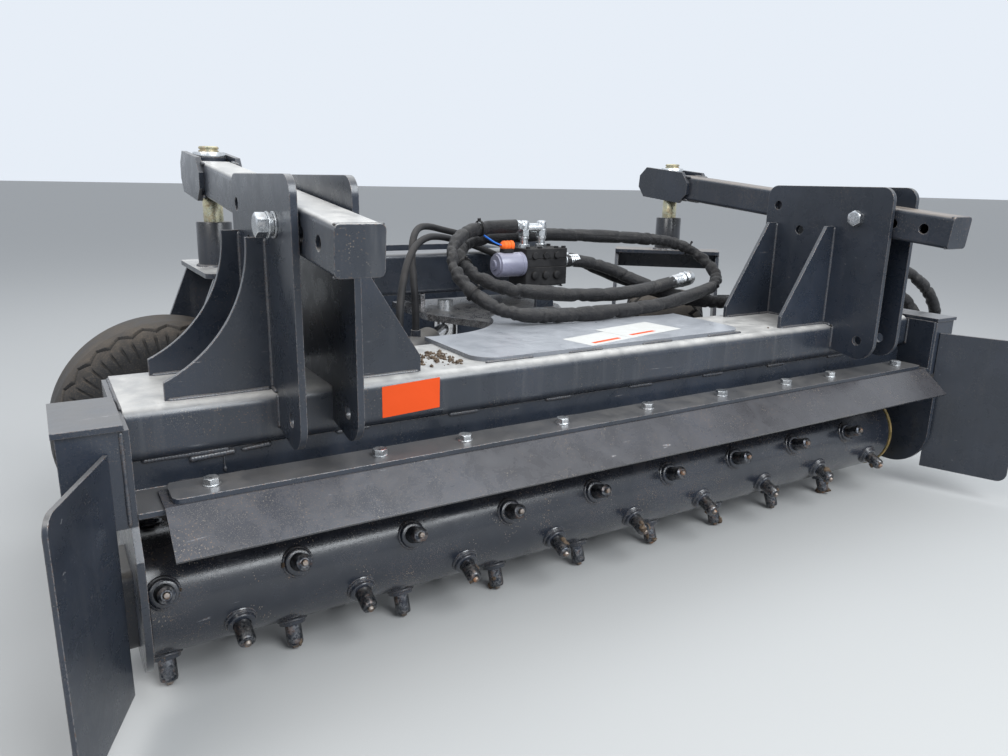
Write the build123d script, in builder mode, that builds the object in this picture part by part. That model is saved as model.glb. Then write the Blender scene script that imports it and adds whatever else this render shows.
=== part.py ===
from build123d import *
from math import atan2, cos, degrees, hypot, pi, radians, sin, tan
import os

# Power rake for a loader, in millimetres: X across the machine, Y towards the coupler, Z up.
# Places along Y are given from the front face of the beam, which lies at FACE in the part's frame.

# roller and its studs
AXLE_Y = 66.0
DRUM_R = 97.0
DRUM_WALL = 12.0
DRUM_GAP_LEFT = 4.0
DRUM_GAP_RIGHT = 57.0
DISC_T = 12.0
STUD_TIP_REACH = 144.5
STUD_R = 13.0
STUD_TIP_R = 5.0
STUD_TIP_L = 4.5
COLLAR_R = 21.0
COLLAR_H = 9.0
STUD_SINK = 3.0
STUD_SIDES = 6
STUD_PITCH = 192.0
STUD_ROWS = 8
ROW_START = 21.0
ROW_SHIFT = 102.0
SHAFT_R = 30.0
RING_R = 99.0
RING_T = 8.0

# beam, apron, clamp strip and flap
BEAM_HALF = 897.0
BEAM_DEPTH = 230.0
BEAM_TOP = 439.0
BEAM_BOTTOM = 361.0
BEAM_WALL = 8.0
BEAM_BEND = 18.0
APRON_SET_BACK = 4.0
APRON_T = 8.0
FLANGE_TOP = 318.0
FLANGE_FRONT = -72.0
FLAP_T = 5.0
STRIP_T = 8.0
STRIP_SHORT = 43.0
STRIP_CORNER = 12.0
STRIP_BACK = -11.0
STRIP_FRONT = -77.0
FLAP_SHORT = 32.0
FLAP_RUN = 79.0
FLAP_SLOPE = 38.0

# ends of the beam
SIDE_T = 10.0
SIDE_FRONT = -95.0
SIDE_BACK = 215.0
SIDE_BOTTOM = 58.0
SIDE_TOP = 434.0
SIDE_CORNER = 95.0
SIDE_BELLY = 40.0
SHAFT_HOLE_R = 46.0
BOX_WIDE = 73.0
BOX_FRONT = -70.0
BOX_BACK = 70.0
BOX_BOTTOM = 300.0
CAP_T = 8.0
CAP_OVERHANG = 4.0
WING_INSET = 17.0
WING_LENGTH = 190.0
WING_TOP = 405.0
WING_BOTTOM = 57.0
WING_T = 6.0
WING_FLARE = 22.0
WING_CORNER = 22.0
FLANGE_UNIT_R = 62.0
FLANGE_UNIT_T = 18.0
FLANGE_UNIT_CORNER = 20.0
BEARING_R = 46.0
BEARING_T = 66.0
MOTOR_R = 55.0
MOTOR_T = 78.0
FIT_GAP = 0.05
SEAT_GAP = 0.3

# brackets that carry the wheel arms
BRACKET_INSET = 254.0
EAR_GAP = 73.0
EAR_T = 10.0
EAR_FRONT = -108.0
EAR_BACK = 222.0
EAR_TOP = 752.0
EAR_CORNER = 28.0
EAR_LOW_Y = -66.0
EAR_LOW_Z = 414.0
EAR_LOW_R = 42.0
EAR_STEP = 30.0
EAR_HOLE_R = 10.5
BACK_HOLES = ((121.0, 650.0), (190.0, 705.0))
GUSSET_T = 8.0
GUSSET_FRONT = 26.0
GUSSET_REAR = 188.0
GUSSET_FOOT = 151.0
GUSSET_HEIGHT = 225.0
GUSSET_TIP = 27.0
GUSSET_RISE = 26.0
GUSSET_SAG = 30.0

# wheel arms
PIVOT_Y = -29.0
PIVOT_Z = 684.0
ARM_TILT = 5.7
TUBE = 65.0
TUBE_WALL = 6.0
TUBE_CORNER = 8.0
ARM_FRONT = 197.0
ARM_BACK = 596.0
ARM_CAP_T = 6.0
ARM_HOLES = (75.0, 145.0)
BOLT_R = 10.0
HEAD_R = 17.0
HEAD_T = 13.0
WASHER_T = 3.0
BOLT_PROUD = 6.0
CLEVIS_T = 10.0
CLEVIS_FROM = 545.0
CLEVIS_TO = 745.0
CLEVIS_BOSS_WALL = 14.5
CLEVIS_HALF = 42.0
CLEVIS_CHAMFER = 26.0
CASTER_Y = 620.0
BOSS_R = 32.0
BOSS_BOTTOM = 716.0
BOSS_HEIGHT = 68.0

# casters and wheels
SPINDLE_R = 20.0
SPINDLE_PROUD = 22.0
SOCKET_R = 36.0
SOCKET_TOP = 655.0
FORK_TOP = 562.0
FORK_T = 10.0
FORK_LONG = 300.0
FORK_WIDE = 100.0
FORK_LEG_WIDE = 70.0
FORK_SKIRT = 46.0
FORK_CORNER = 14.0
FORK_SHOULDER = 40.0
FORK_TOE = 20.0
TRAIL = 118.0
TYRE_R = 228.5
TYRE_WIDE = 212.0
BULGE_RISE = 50.0
SHOULDER_DROP = 30.0
SHOULDER_IN = 6.0
TREAD_IN = 44.0
RIM_R = 101.5
RIM_WIDE = 180.0
RIM_LIP = 12.0
RIM_DISH = 14.0
RIM_WALL = 8.0
HUB_R = 28.0
HUB_GAP = 4.0
AXLE_R = 12.0
TRAIL_HEADING = {"left": 180.0, "right": 228.6}

# turning joint, carrier and coupler plate
KING_Y = 342.0
KING_R = 25.0
KING_HEAD_R = 38.0
KING_HEAD_T = 10.0
COVER_T = 8.0
COVER_FRONT = 27.0
COVER_HALF = 332.0
COVER_WAIST_Y = 249.0
COVER_NECK_HALF = 98.0
COVER_NOSE_Y = 430.0
COVER_CORNER = 45.0
COVER_HOLLOW = (58.0, 48.0)
COVER_TIP = 40.0
SWIVEL_T = 16.0
SWIVEL_EYE_R = 95.0
SWIVEL_HALF = 190.0
LOWER_T = 16.0
LOWER_HALF = 150.0
CROSS_Y = 640.0
CROSS_TUBE = 102.0
CROSS_HALF = 280.0
CROSS_BOTTOM = 469.0
CROSS_CORNER = 12.0
RISER_X = 150.0
RISER_T = 12.0
RAIL_WIDE = 60.0
RAIL_CORNER = 8.0
PLATE_Y = 1192.0
PLATE_T = 8.0
PLATE_HALF = 570.0
PLATE_BOTTOM = 90.0
PLATE_TOP = 545.0
LEDGE_DEEP = 55.0
LEDGE_T = 10.0
HOOK_DEEP = 38.0
HOOK_DROP = 26.0
HOOK_T = 14.0
HOOK_TOE = 5.0
SLOT_X = 460.0
SLOT_LONG = 80.0
SLOT_WIDE = 26.0

# angle cylinder, between a lug on the beam and a pin in the swivel plate
CYL_STAND = 32.0
CYL_FOOT = (-400.0, BEAM_DEPTH + CYL_STAND)
CYL_PIN = (-102.0, 611.0)
CYL_Z = 386.0
CYL_R = 31.0
CYL_EYE_R = 26.0
CYL_EYE_T = 36.0
CYL_PIN_R = 11.0
CYL_PIN_HEAD = (19.0, 18.0)
CYL_PIN_PROUD = 6.0
CYL_OPEN_R = 21.5
CYL_TUBE_FROM = 42.0
CYL_NECK_R = 15.0
CYL_TUBE_TO = 290.0
ROD_R = 16.0
ROD_IN = 110.0
ROD_EYE_R = 31.0
LUG_T = 12.0
LUG_GAP = 1.0
LUG_BASE_HALF = 60.0
LUG_BASE_T = 4.0

# valve block on its bracket, with the solenoid, elbows and plug
BLOCK = (120.0, 80.0, 88.0)
BLOCK_AT = (88.0, 480.0)
BLOCK_BOTTOM = 505.0
BRACKET_T = 8.0
BRACKET_WIDE = (42.0, 92.0)
BRACKET_FOOT = 374.0
SOLENOID_R = 29.0
SOLENOID_L = 80.0
SOLENOID_AT = (462.0, 556.0)
ELBOW_X = (45.0, 95.0)
ELBOW_R = 13.0
ELBOW_TOP = 658.0
ELBOW_PORT_Z = 645.0
ELBOW_REACH = 26.0
PLUG = (34.0, 24.0, 28.0)
PLUG_AT = (-14.0, 462.0)

# hoses: radius, fittings at the motor, coupling at the free end
HOSE_R = 16.0
THIN_HOSE_R = 8.0
PORT_R = 14.0
PORT_L = 25.0
MOTOR_PORTS = (44.0, 88.0)
CYL_PORTS = (63.0, 185.0)
CYL_PORT_R = 11.0
PORT_TOP = 430.0
COUPLING_R = 19.0
COUPLING_L = 78.0
ARC_SHARE = 0.45

DRUM_LEFT = DRUM_GAP_LEFT - BEAM_HALF
DRUM_RIGHT = BEAM_HALF - DRUM_GAP_RIGHT
STUDS_IN_ROW = 1 + int((DRUM_RIGHT - DRUM_LEFT - ROW_START - ROW_SHIFT - COLLAR_R) / STUD_PITCH)
BRACKET_X = BEAM_HALF - BRACKET_INSET
BOSS_TOP = BOSS_BOTTOM + BOSS_HEIGHT
BOX_IN = BEAM_HALF + SIDE_T
WING_REACH = WING_LENGTH * cos(radians(WING_FLARE)) + WING_T * sin(radians(WING_FLARE))
FRONT_REACH = WING_REACH + SEAT_GAP - BOX_FRONT
BACK_REACH = PLATE_Y + PLATE_T + LEDGE_DEEP
FACE = (FRONT_REACH - BACK_REACH) / 2
ROW_ANGLE = 360.0 / STUD_ROWS
AXLE_Z = STUD_TIP_REACH * cos(radians(ROW_ANGLE / 2)) + STUD_TIP_R * sin(radians(ROW_ANGLE / 2))
SIDES = {"left": -1, "right": 1}

# half of the tyre's section: radius, distance from the tyre's middle
TYRE_PROFILE = (
    (RIM_R, RIM_WIDE / 2 - RIM_LIP),
    (RIM_R + BULGE_RISE, TYRE_WIDE / 2),
    (TYRE_R - SHOULDER_DROP, TYRE_WIDE / 2 - SHOULDER_IN),
    (TYRE_R, TYRE_WIDE / 2 - TREAD_IN),
)

# steps of a stud, from its collar to its tip: radius, reach from the axle
STUD_STEPS = (
    (COLLAR_R, DRUM_R + COLLAR_H),
    (STUD_R, STUD_TIP_REACH - STUD_TIP_L),
    (STUD_TIP_R, STUD_TIP_REACH),
)

os.makedirs("parts", exist_ok=True)


def write(part, node):
    """Label a finished piece and write it to its own file."""
    part.label = node
    export_step(part, f"parts/{node}.step")


def across(x):
    """Plane at x that faces +X: sketches on it are given as (distance behind the face, height)."""
    return Plane(origin=(x, FACE, 0), x_dir=(0, 1, 0), z_dir=(1, 0, 0))


def level(z):
    """Level plane at z: sketches on it are given as (x, distance behind the face)."""
    return Plane(origin=(0, FACE, z), x_dir=(1, 0, 0), z_dir=(0, 0, 1))


def upright(x, back, z=0.0, heading=0.0):
    """Level plane with its origin at a place and its x axis turned to a heading."""
    turn = radians(heading)
    return Plane(origin=(x, FACE + back, z), x_dir=(cos(turn), sin(turn), 0), z_dir=(0, 0, 1))


def drum_section(x):
    """Plane at x, across the roller's axle."""
    return Plane(origin=(x, FACE + AXLE_Y, AXLE_Z), x_dir=(0, 1, 0), z_dir=(1, 0, 0))


# Roller: a pipe with end discs and shafts, and rows of studs, each in a welded collar.
with BuildPart() as drum:
    with BuildSketch(drum_section(DRUM_LEFT)):
        Circle(DRUM_R)
        Circle(DRUM_R - DRUM_WALL, mode=Mode.SUBTRACT)
    extrude(amount=DRUM_RIGHT - DRUM_LEFT)
    for disc_at in (DRUM_LEFT, DRUM_RIGHT - DISC_T):
        with BuildSketch(drum_section(disc_at)):
            Circle(DRUM_R - DRUM_WALL)
        extrude(amount=DISC_T)
    with BuildSketch(drum_section(-BEAM_HALF - SIDE_T - FLANGE_UNIT_T)):
        Circle(SHAFT_R)
    extrude(amount=DRUM_LEFT + BEAM_HALF + SIDE_T + FLANGE_UNIT_T)
    with BuildSketch(drum_section(DRUM_RIGHT)):
        Circle(SHAFT_R)
    extrude(amount=BEAM_HALF + SIDE_T - DRUM_RIGHT)
    seats = []
    for row in range(STUD_ROWS):
        lean = radians((row + 0.5) * ROW_ANGLE)
        out = Vector(0, -cos(lean), sin(lean))
        for count in range(STUDS_IN_ROW):
            x = DRUM_LEFT + ROW_START + (row % 2) * ROW_SHIFT + count * STUD_PITCH
            foot = Vector(x, FACE + AXLE_Y, AXLE_Z) + out * (DRUM_R - STUD_SINK)
            seats.append(Plane(origin=foot, x_dir=(1, 0, 0), z_dir=out))
    studs = []
    for radius, height in STUD_STEPS:
        with BuildSketch(*seats, mode=Mode.PRIVATE) as stud_ends:
            RegularPolygon(radius, STUD_SIDES)
        studs.append(extrude(stud_ends.sketch, amount=height - DRUM_R + STUD_SINK, mode=Mode.PRIVATE))
    add(studs)
write(drum.part, "drum")

with BuildPart() as end_ring:
    with BuildSketch(drum_section(DRUM_RIGHT)):
        Circle(RING_R)
        Circle(SHAFT_R + SEAT_GAP, mode=Mode.SUBTRACT)
    extrude(amount=RING_T)
write(end_ring.part, "end_ring")

# Beam: a folded box section with rounded bends.
with BuildPart() as beam:
    with BuildSketch(across(-BEAM_HALF)):
        with Locations((BEAM_DEPTH / 2, (BEAM_TOP + BEAM_BOTTOM) / 2)):
            RectangleRounded(BEAM_DEPTH, BEAM_TOP - BEAM_BOTTOM, BEAM_BEND)
            Rectangle(BEAM_DEPTH - 2 * BEAM_WALL, BEAM_TOP - BEAM_BOTTOM - 2 * BEAM_WALL, mode=Mode.SUBTRACT)
    extrude(amount=2 * BEAM_HALF)
write(beam.part, "beam")

# Apron: a plate under the beam, folded forward into the flange that carries the flap.
with BuildPart() as apron:
    with BuildSketch(across(-BEAM_HALF)):
        with BuildLine():
            Polyline(
                (APRON_SET_BACK + BEAM_BEND, BEAM_BOTTOM),
                (APRON_SET_BACK + BEAM_BEND, FLANGE_TOP - APRON_T),
                (FLANGE_FRONT, FLANGE_TOP - APRON_T),
                (FLANGE_FRONT, FLANGE_TOP),
                (APRON_SET_BACK + BEAM_BEND - APRON_T, FLANGE_TOP),
                (APRON_SET_BACK + BEAM_BEND - APRON_T, BEAM_BOTTOM),
                close=True,
            )
        make_face()
    extrude(amount=2 * BEAM_HALF)
write(apron.part, "apron")

# Flap: a strip of belt that lies on the flange and slopes down in front of the roller.
flap_slope = radians(FLAP_SLOPE)
flap_run = Vector(-cos(flap_slope), -sin(flap_slope)) * FLAP_RUN
flap_thick = Vector(-sin(flap_slope), cos(flap_slope)) * FLAP_T
with BuildPart() as flap:
    with BuildSketch(across(FLAP_SHORT - BEAM_HALF)):
        with BuildLine():
            Polyline(
                (STRIP_BACK, FLANGE_TOP),
                (STRIP_FRONT, FLANGE_TOP),
                (STRIP_FRONT + flap_run.X, FLANGE_TOP + flap_run.Y),
                (STRIP_FRONT + flap_run.X + flap_thick.X, FLANGE_TOP + flap_run.Y + flap_thick.Y),
                (STRIP_FRONT + flap_thick.X, FLANGE_TOP + FLAP_T),
                (STRIP_BACK, FLANGE_TOP + FLAP_T),
                close=True,
            )
        make_face()
    extrude(amount=2 * (BEAM_HALF - FLAP_SHORT))
write(flap.part, "flap")

with BuildPart() as clamp_strip:
    with BuildSketch(level(FLANGE_TOP + FLAP_T)):
        with Locations((0, (STRIP_BACK + STRIP_FRONT) / 2)):
            RectangleRounded(2 * (BEAM_HALF - STRIP_SHORT), STRIP_BACK - STRIP_FRONT, STRIP_CORNER)
    extrude(amount=STRIP_T)
write(clamp_strip.part, "clamp_strip")

# Ends: a side plate, a closed box with its cap, and a flared wing on each side.
for side, way in SIDES.items():
    inner = way * BEAM_HALF
    with BuildPart() as side_plate:
        with BuildSketch(across(min(inner, inner + way * SIDE_T))):
            with BuildLine():
                Polyline(
                    (SIDE_BACK, SIDE_TOP),
                    (BOX_FRONT, SIDE_TOP),
                    (BOX_FRONT, BOX_BOTTOM),
                    (SIDE_FRONT, BOX_BOTTOM - SIDE_BELLY),
                    (SIDE_FRONT, SIDE_BOTTOM),
                    (SIDE_BACK, SIDE_BOTTOM),
                    close=True,
                )
            face = make_face()
            fillet(face.vertices().group_by(Axis.Y)[0], radius=SIDE_CORNER)
            with Locations((AXLE_Y, AXLE_Z)):
                Circle(SHAFT_HOLE_R, mode=Mode.SUBTRACT)
        extrude(amount=SIDE_T)
    write(side_plate.part, f"side_plate_{side}")

    box_middle = (way * (BOX_IN + BOX_WIDE / 2), (BOX_FRONT + BOX_BACK) / 2)
    with BuildPart() as end_box:
        with BuildSketch(level(BOX_BOTTOM)):
            with Locations(box_middle):
                Rectangle(BOX_WIDE, BOX_BACK - BOX_FRONT)
        extrude(amount=SIDE_TOP - BOX_BOTTOM)
        with BuildSketch(level(SIDE_TOP)):
            with Locations(box_middle):
                Rectangle(BOX_WIDE + 2 * CAP_OVERHANG, BOX_BACK - BOX_FRONT + 2 * CAP_OVERHANG)
        extrude(amount=CAP_T)
    write(end_box.part, f"end_box_{side}")

    flare = radians(WING_FLARE)
    along = (way * sin(flare), -cos(flare), 0)
    wing_root = Plane(
        origin=(way * (BOX_IN + WING_INSET), FACE + BOX_FRONT - SEAT_GAP - WING_T * sin(flare), (WING_TOP + WING_BOTTOM) / 2),
        x_dir=along,
        z_dir=(cos(flare), way * sin(flare), 0),
    )
    with BuildPart() as wing:
        with BuildSketch(wing_root):
            with Locations((WING_LENGTH / 2, 0)):
                outline = Rectangle(WING_LENGTH, WING_TOP - WING_BOTTOM)
            fillet(outline.vertices().group_by(Axis.X)[-1], radius=WING_CORNER)
        extrude(amount=WING_T if way > 0 else -WING_T)
    write(wing.part, f"wing_{side}")

# Bearing flange at the left end of the roller and motor at the right end.
with BuildPart() as bearing:
    with BuildSketch(drum_section(-BEAM_HALF - SIDE_T)):
        RectangleRounded(2 * FLANGE_UNIT_R, 2 * FLANGE_UNIT_R, FLANGE_UNIT_CORNER)
    extrude(amount=-FLANGE_UNIT_T)
    with BuildSketch(drum_section(-BEAM_HALF - SIDE_T - FLANGE_UNIT_T)):
        Circle(BEARING_R)
    extrude(amount=FLANGE_UNIT_T - BEARING_T)
    with BuildSketch(drum_section(-BEAM_HALF - SIDE_T)):
        Circle(SHAFT_R + FIT_GAP)
    extrude(amount=-FLANGE_UNIT_T - SEAT_GAP, mode=Mode.SUBTRACT)
write(bearing.part, "bearing")

with BuildPart() as motor:
    with BuildSketch(drum_section(BEAM_HALF + SIDE_T)):
        RectangleRounded(2 * FLANGE_UNIT_R, 2 * FLANGE_UNIT_R, FLANGE_UNIT_CORNER)
    extrude(amount=FLANGE_UNIT_T)
    with BuildSketch(drum_section(BEAM_HALF + SIDE_T + FLANGE_UNIT_T)):
        Circle(MOTOR_R)
    extrude(amount=MOTOR_T - FLANGE_UNIT_T)
write(motor.part, "motor")

# Brackets, arms, casters and wheels, one set on each side.
arm_turn = radians(ARM_TILT)
arm_dir = Vector(0, cos(arm_turn), sin(arm_turn))
arm_up = Vector(0, -sin(arm_turn), cos(arm_turn))


def arm_side(x):
    """Plane at x that faces +X, with its origin at the pivot and its x axis along the arm."""
    return Plane(origin=(x, FACE + PIVOT_Y, PIVOT_Z), x_dir=arm_dir, z_dir=(1, 0, 0))


def arm_section(centre, reach):
    """Plane across the arm, at a distance along it from the pivot."""
    origin = Vector(centre, FACE + PIVOT_Y, PIVOT_Z) + arm_dir * reach
    return Plane(origin=origin, x_dir=(1, 0, 0), z_dir=arm_dir)


for side, way in SIDES.items():
    centre = way * BRACKET_X
    outer = centre + way * (EAR_GAP / 2 + EAR_T)
    ear_faces = (centre - EAR_GAP / 2 - EAR_T, centre + EAR_GAP / 2)
    with BuildPart() as ears:
        for ear_face in ear_faces:
            with BuildSketch(across(ear_face)):
                with BuildLine():
                    Polyline(
                        (EAR_FRONT, EAR_LOW_Z),
                        (EAR_FRONT, EAR_TOP),
                        (EAR_BACK, EAR_TOP),
                        (EAR_BACK, BEAM_TOP),
                        (0, BEAM_TOP),
                        (0, EAR_LOW_Z - EAR_STEP),
                        (EAR_LOW_Y, EAR_LOW_Z - EAR_LOW_R),
                    )
                    ThreePointArc(
                        (EAR_LOW_Y, EAR_LOW_Z - EAR_LOW_R),
                        (EAR_LOW_Y - EAR_LOW_R * sin(radians(45)), EAR_LOW_Z - EAR_LOW_R * sin(radians(45))),
                        (EAR_FRONT, EAR_LOW_Z),
                    )
                ear_outline = make_face()
                fillet(ear_outline.vertices().group_by(Axis.Y)[-1], radius=EAR_CORNER)
                with Locations((EAR_LOW_Y, EAR_LOW_Z), *BACK_HOLES):
                    Circle(EAR_HOLE_R, mode=Mode.SUBTRACT)
                with Locations((PIVOT_Y, PIVOT_Z)):
                    Circle(BOLT_R + SEAT_GAP, mode=Mode.SUBTRACT)
            extrude(amount=EAR_T)
    write(ears.part, f"ears_{side}")

    # Gussets stand on the beam, with a hollow edge outside and a straight edge inside.
    with BuildPart() as gussets:
        for gusset_at in (GUSSET_FRONT, GUSSET_REAR):
            for end, reach in ((1, GUSSET_FOOT), (-1, -GUSSET_FOOT)):
                start = outer if end > 0 else centre - way * (EAR_GAP / 2 + EAR_T)
                run = way * end
                tip = (start + run * GUSSET_TIP, BEAM_TOP + GUSSET_HEIGHT)
                toe = (start + run * GUSSET_FOOT, BEAM_TOP + GUSSET_RISE)
                middle = (
                    (tip[0] + toe[0]) / 2 - run * (GUSSET_SAG if end > 0 else 0),
                    (tip[1] + toe[1]) / 2 - (GUSSET_SAG if end > 0 else 0) * 0.6,
                )
                front = Plane(origin=(0, FACE + gusset_at, 0), x_dir=(1, 0, 0), z_dir=(0, -1, 0))
                with BuildSketch(front):
                    with BuildLine():
                        Polyline(toe, (toe[0], BEAM_TOP), (start, BEAM_TOP), (start, tip[1]), tip)
                        if end > 0:
                            ThreePointArc(tip, middle, toe)
                        else:
                            Line(tip, toe)
                    make_face()
                extrude(amount=-GUSSET_T)
    write(gussets.part, f"gussets_{side}")

    head_face = ear_faces[0] if way < 0 else ear_faces[1] + EAR_T
    nut_face = ear_faces[1] + EAR_T if way < 0 else ear_faces[0]
    with BuildPart() as pivot_bolt:
        with BuildSketch(arm_side(head_face)):
            RegularPolygon(HEAD_R, 6)
        extrude(amount=way * (HEAD_T + WASHER_T))
        with BuildSketch(arm_side(head_face)):
            Circle(BOLT_R)
        extrude(amount=-way * (EAR_GAP + 2 * EAR_T + HEAD_T + WASHER_T + BOLT_PROUD))
        with BuildSketch(arm_side(nut_face)):
            RegularPolygon(HEAD_R, 6)
        extrude(amount=-way * (HEAD_T + WASHER_T))
    write(pivot_bolt.part, f"pivot_bolt_{side}")

    # Arm: a square tube, closed by a plate at its front end, with cross holes.
    with BuildPart() as arm:
        with BuildSketch(arm_section(centre, -ARM_FRONT)):
            RectangleRounded(TUBE, TUBE, TUBE_CORNER)
            RectangleRounded(TUBE - 2 * TUBE_WALL, TUBE - 2 * TUBE_WALL, TUBE_CORNER - TUBE_WALL, mode=Mode.SUBTRACT)
        extrude(amount=ARM_FRONT + ARM_BACK)
        with BuildSketch(arm_section(centre, -ARM_FRONT)):
            RectangleRounded(TUBE, TUBE, TUBE_CORNER)
        extrude(amount=-ARM_CAP_T)
        with BuildSketch(arm_side(centre - TUBE)):
            with Locations(*[(-hole, 0) for hole in ARM_HOLES]):
                Circle(EAR_HOLE_R)
            Circle(BOLT_R + FIT_GAP)
        extrude(amount=2 * TUBE, mode=Mode.SUBTRACT)
    write(arm.part, f"arm_{side}")

    with BuildPart() as clevis:
        for cheek in (centre - TUBE / 2 - CLEVIS_T, centre + TUBE / 2):
            with BuildSketch(arm_side(cheek)):
                with Locations(((CLEVIS_FROM + CLEVIS_TO) / 2, 0)):
                    cheek_outline = Rectangle(CLEVIS_TO - CLEVIS_FROM, 2 * CLEVIS_HALF)
                chamfer(cheek_outline.vertices(), length=CLEVIS_CHAMFER)
            extrude(amount=CLEVIS_T)
        boss_place = upright(centre, CASTER_Y, BOSS_BOTTOM)
        with BuildSketch(boss_place):
            Circle(SPINDLE_R + CLEVIS_BOSS_WALL)
        extrude(amount=BOSS_TOP - BOSS_BOTTOM)
        with BuildSketch(boss_place):
            Circle(SPINDLE_R + FIT_GAP)
        extrude(amount=BOSS_TOP - BOSS_BOTTOM, mode=Mode.SUBTRACT)
    write(clevis.part, f"clevis_{side}")

    heading = TRAIL_HEADING[side]

    def caster_level(z):
        """Level plane at the spindle, its x axis in the direction in which the wheel trails."""
        return upright(centre, CASTER_Y, z, heading)

    with BuildPart() as spindle:
        with BuildSketch(caster_level(FORK_TOP)):
            Circle(SOCKET_R)
        extrude(amount=SOCKET_TOP - FORK_TOP)
        with BuildSketch(caster_level(SOCKET_TOP)):
            Circle(SPINDLE_R)
        extrude(amount=BOSS_TOP + SPINDLE_PROUD - SOCKET_TOP)
        with BuildSketch(caster_level(BOSS_TOP + SEAT_GAP)):
            Circle(BOSS_R)
        extrude(amount=FORK_T)
    write(spindle.part, f"spindle_{side}")

    # Fork: a top plate, a leg at each end of it and a skirt between the legs.
    turn = radians(heading)
    trail_dir = Vector(cos(turn), sin(turn), 0)
    axle_dir = Vector(-sin(turn), cos(turn), 0)
    foot = Vector(centre, FACE + CASTER_Y, 0)
    with BuildPart() as fork:
        with BuildSketch(caster_level(FORK_TOP - FORK_T)):
            RectangleRounded(FORK_WIDE, FORK_LONG, FORK_CORNER)
        extrude(amount=FORK_T)
        for leg_from in (-FORK_LONG / 2, FORK_LONG / 2 - FORK_T):
            leg_plane = Plane(origin=foot + axle_dir * leg_from, x_dir=trail_dir, z_dir=axle_dir)
            drop = -1 if leg_plane.y_dir.Z < 0 else 1
            with BuildSketch(leg_plane):
                with BuildLine():
                    Polyline(
                        (-FORK_WIDE / 2 + FORK_CORNER, drop * (FORK_TOP - FORK_T)),
                        (FORK_WIDE / 2 - FORK_CORNER, drop * (FORK_TOP - FORK_T)),
                        (TRAIL + FORK_LEG_WIDE / 2, drop * (TYRE_R + FORK_SHOULDER)),
                        (TRAIL + FORK_LEG_WIDE / 2, drop * (TYRE_R - FORK_TOE)),
                        (TRAIL + FORK_LEG_WIDE / 4, drop * (TYRE_R - 2 * FORK_TOE)),
                        (TRAIL - FORK_LEG_WIDE / 4, drop * (TYRE_R - 2 * FORK_TOE)),
                        (TRAIL - FORK_LEG_WIDE / 2, drop * (TYRE_R - FORK_TOE)),
                        close=True,
                    )
                make_face()
                with Locations((TRAIL, drop * TYRE_R)):
                    Circle(AXLE_R + SEAT_GAP, mode=Mode.SUBTRACT)
            extrude(amount=FORK_T)
        skirt_plane = Plane(origin=foot - trail_dir * (FORK_WIDE / 2 - FORK_CORNER), x_dir=axle_dir, z_dir=trail_dir)
        with BuildSketch(skirt_plane):
            with Locations((0, (FORK_TOP - FORK_T - FORK_SKIRT / 2) * (1 if skirt_plane.y_dir.Z > 0 else -1))):
                Rectangle(FORK_LONG, FORK_SKIRT)
        extrude(amount=FORK_T)
    write(fork.part, f"fork_{side}")

    wheel_mid = foot + trail_dir * TRAIL + Vector(0, 0, TYRE_R)

    def wheel_section(offset):
        """Plane across the wheel's axle, at a distance from the middle of the tyre."""
        return Plane(origin=wheel_mid + axle_dir * offset, x_dir=trail_dir, z_dir=axle_dir)

    with BuildPart() as axle_bolt:
        with BuildSketch(wheel_section(-FORK_LONG / 2 - HEAD_T)):
            RegularPolygon(HEAD_R, 6)
        extrude(amount=HEAD_T)
        with BuildSketch(wheel_section(-FORK_LONG / 2)):
            Circle(AXLE_R)
        extrude(amount=FORK_LONG)
        with BuildSketch(wheel_section(FORK_LONG / 2)):
            RegularPolygon(HEAD_R, 6)
        extrude(amount=HEAD_T)
    write(axle_bolt.part, f"axle_bolt_{side}")

    # Half section of the wheel: its x axis points away from the axle, its y axis along it.
    half = Plane(origin=wheel_mid, x_dir=(0, 0, 1), z_dir=axle_dir.cross(Vector(0, 0, 1)) * -1)
    wheel_axis = Axis(wheel_mid, axle_dir)
    with BuildPart() as tyre:
        with BuildSketch(half):
            with BuildLine():
                Polyline(*TYRE_PROFILE, *[(radius, -offset) for radius, offset in reversed(TYRE_PROFILE)], close=True)
            make_face()
        revolve(axis=wheel_axis)
    write(tyre.part, f"tyre_{side}")

    hub_half = FORK_LONG / 2 - FORK_T - HUB_GAP
    rim_side = (
        (AXLE_R + FIT_GAP, hub_half),
        (HUB_R, hub_half),
        (HUB_R, RIM_WALL),
        (RIM_R - RIM_DISH, RIM_WALL),
        (RIM_R, RIM_WIDE / 2 - RIM_LIP),
    )
    with BuildPart() as rim:
        with BuildSketch(half):
            with BuildLine():
                Polyline(*rim_side, *[(radius, -offset) for radius, offset in reversed(rim_side)], close=True)
            make_face()
        revolve(axis=wheel_axis)
    write(rim.part, f"rim_{side}")

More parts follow.
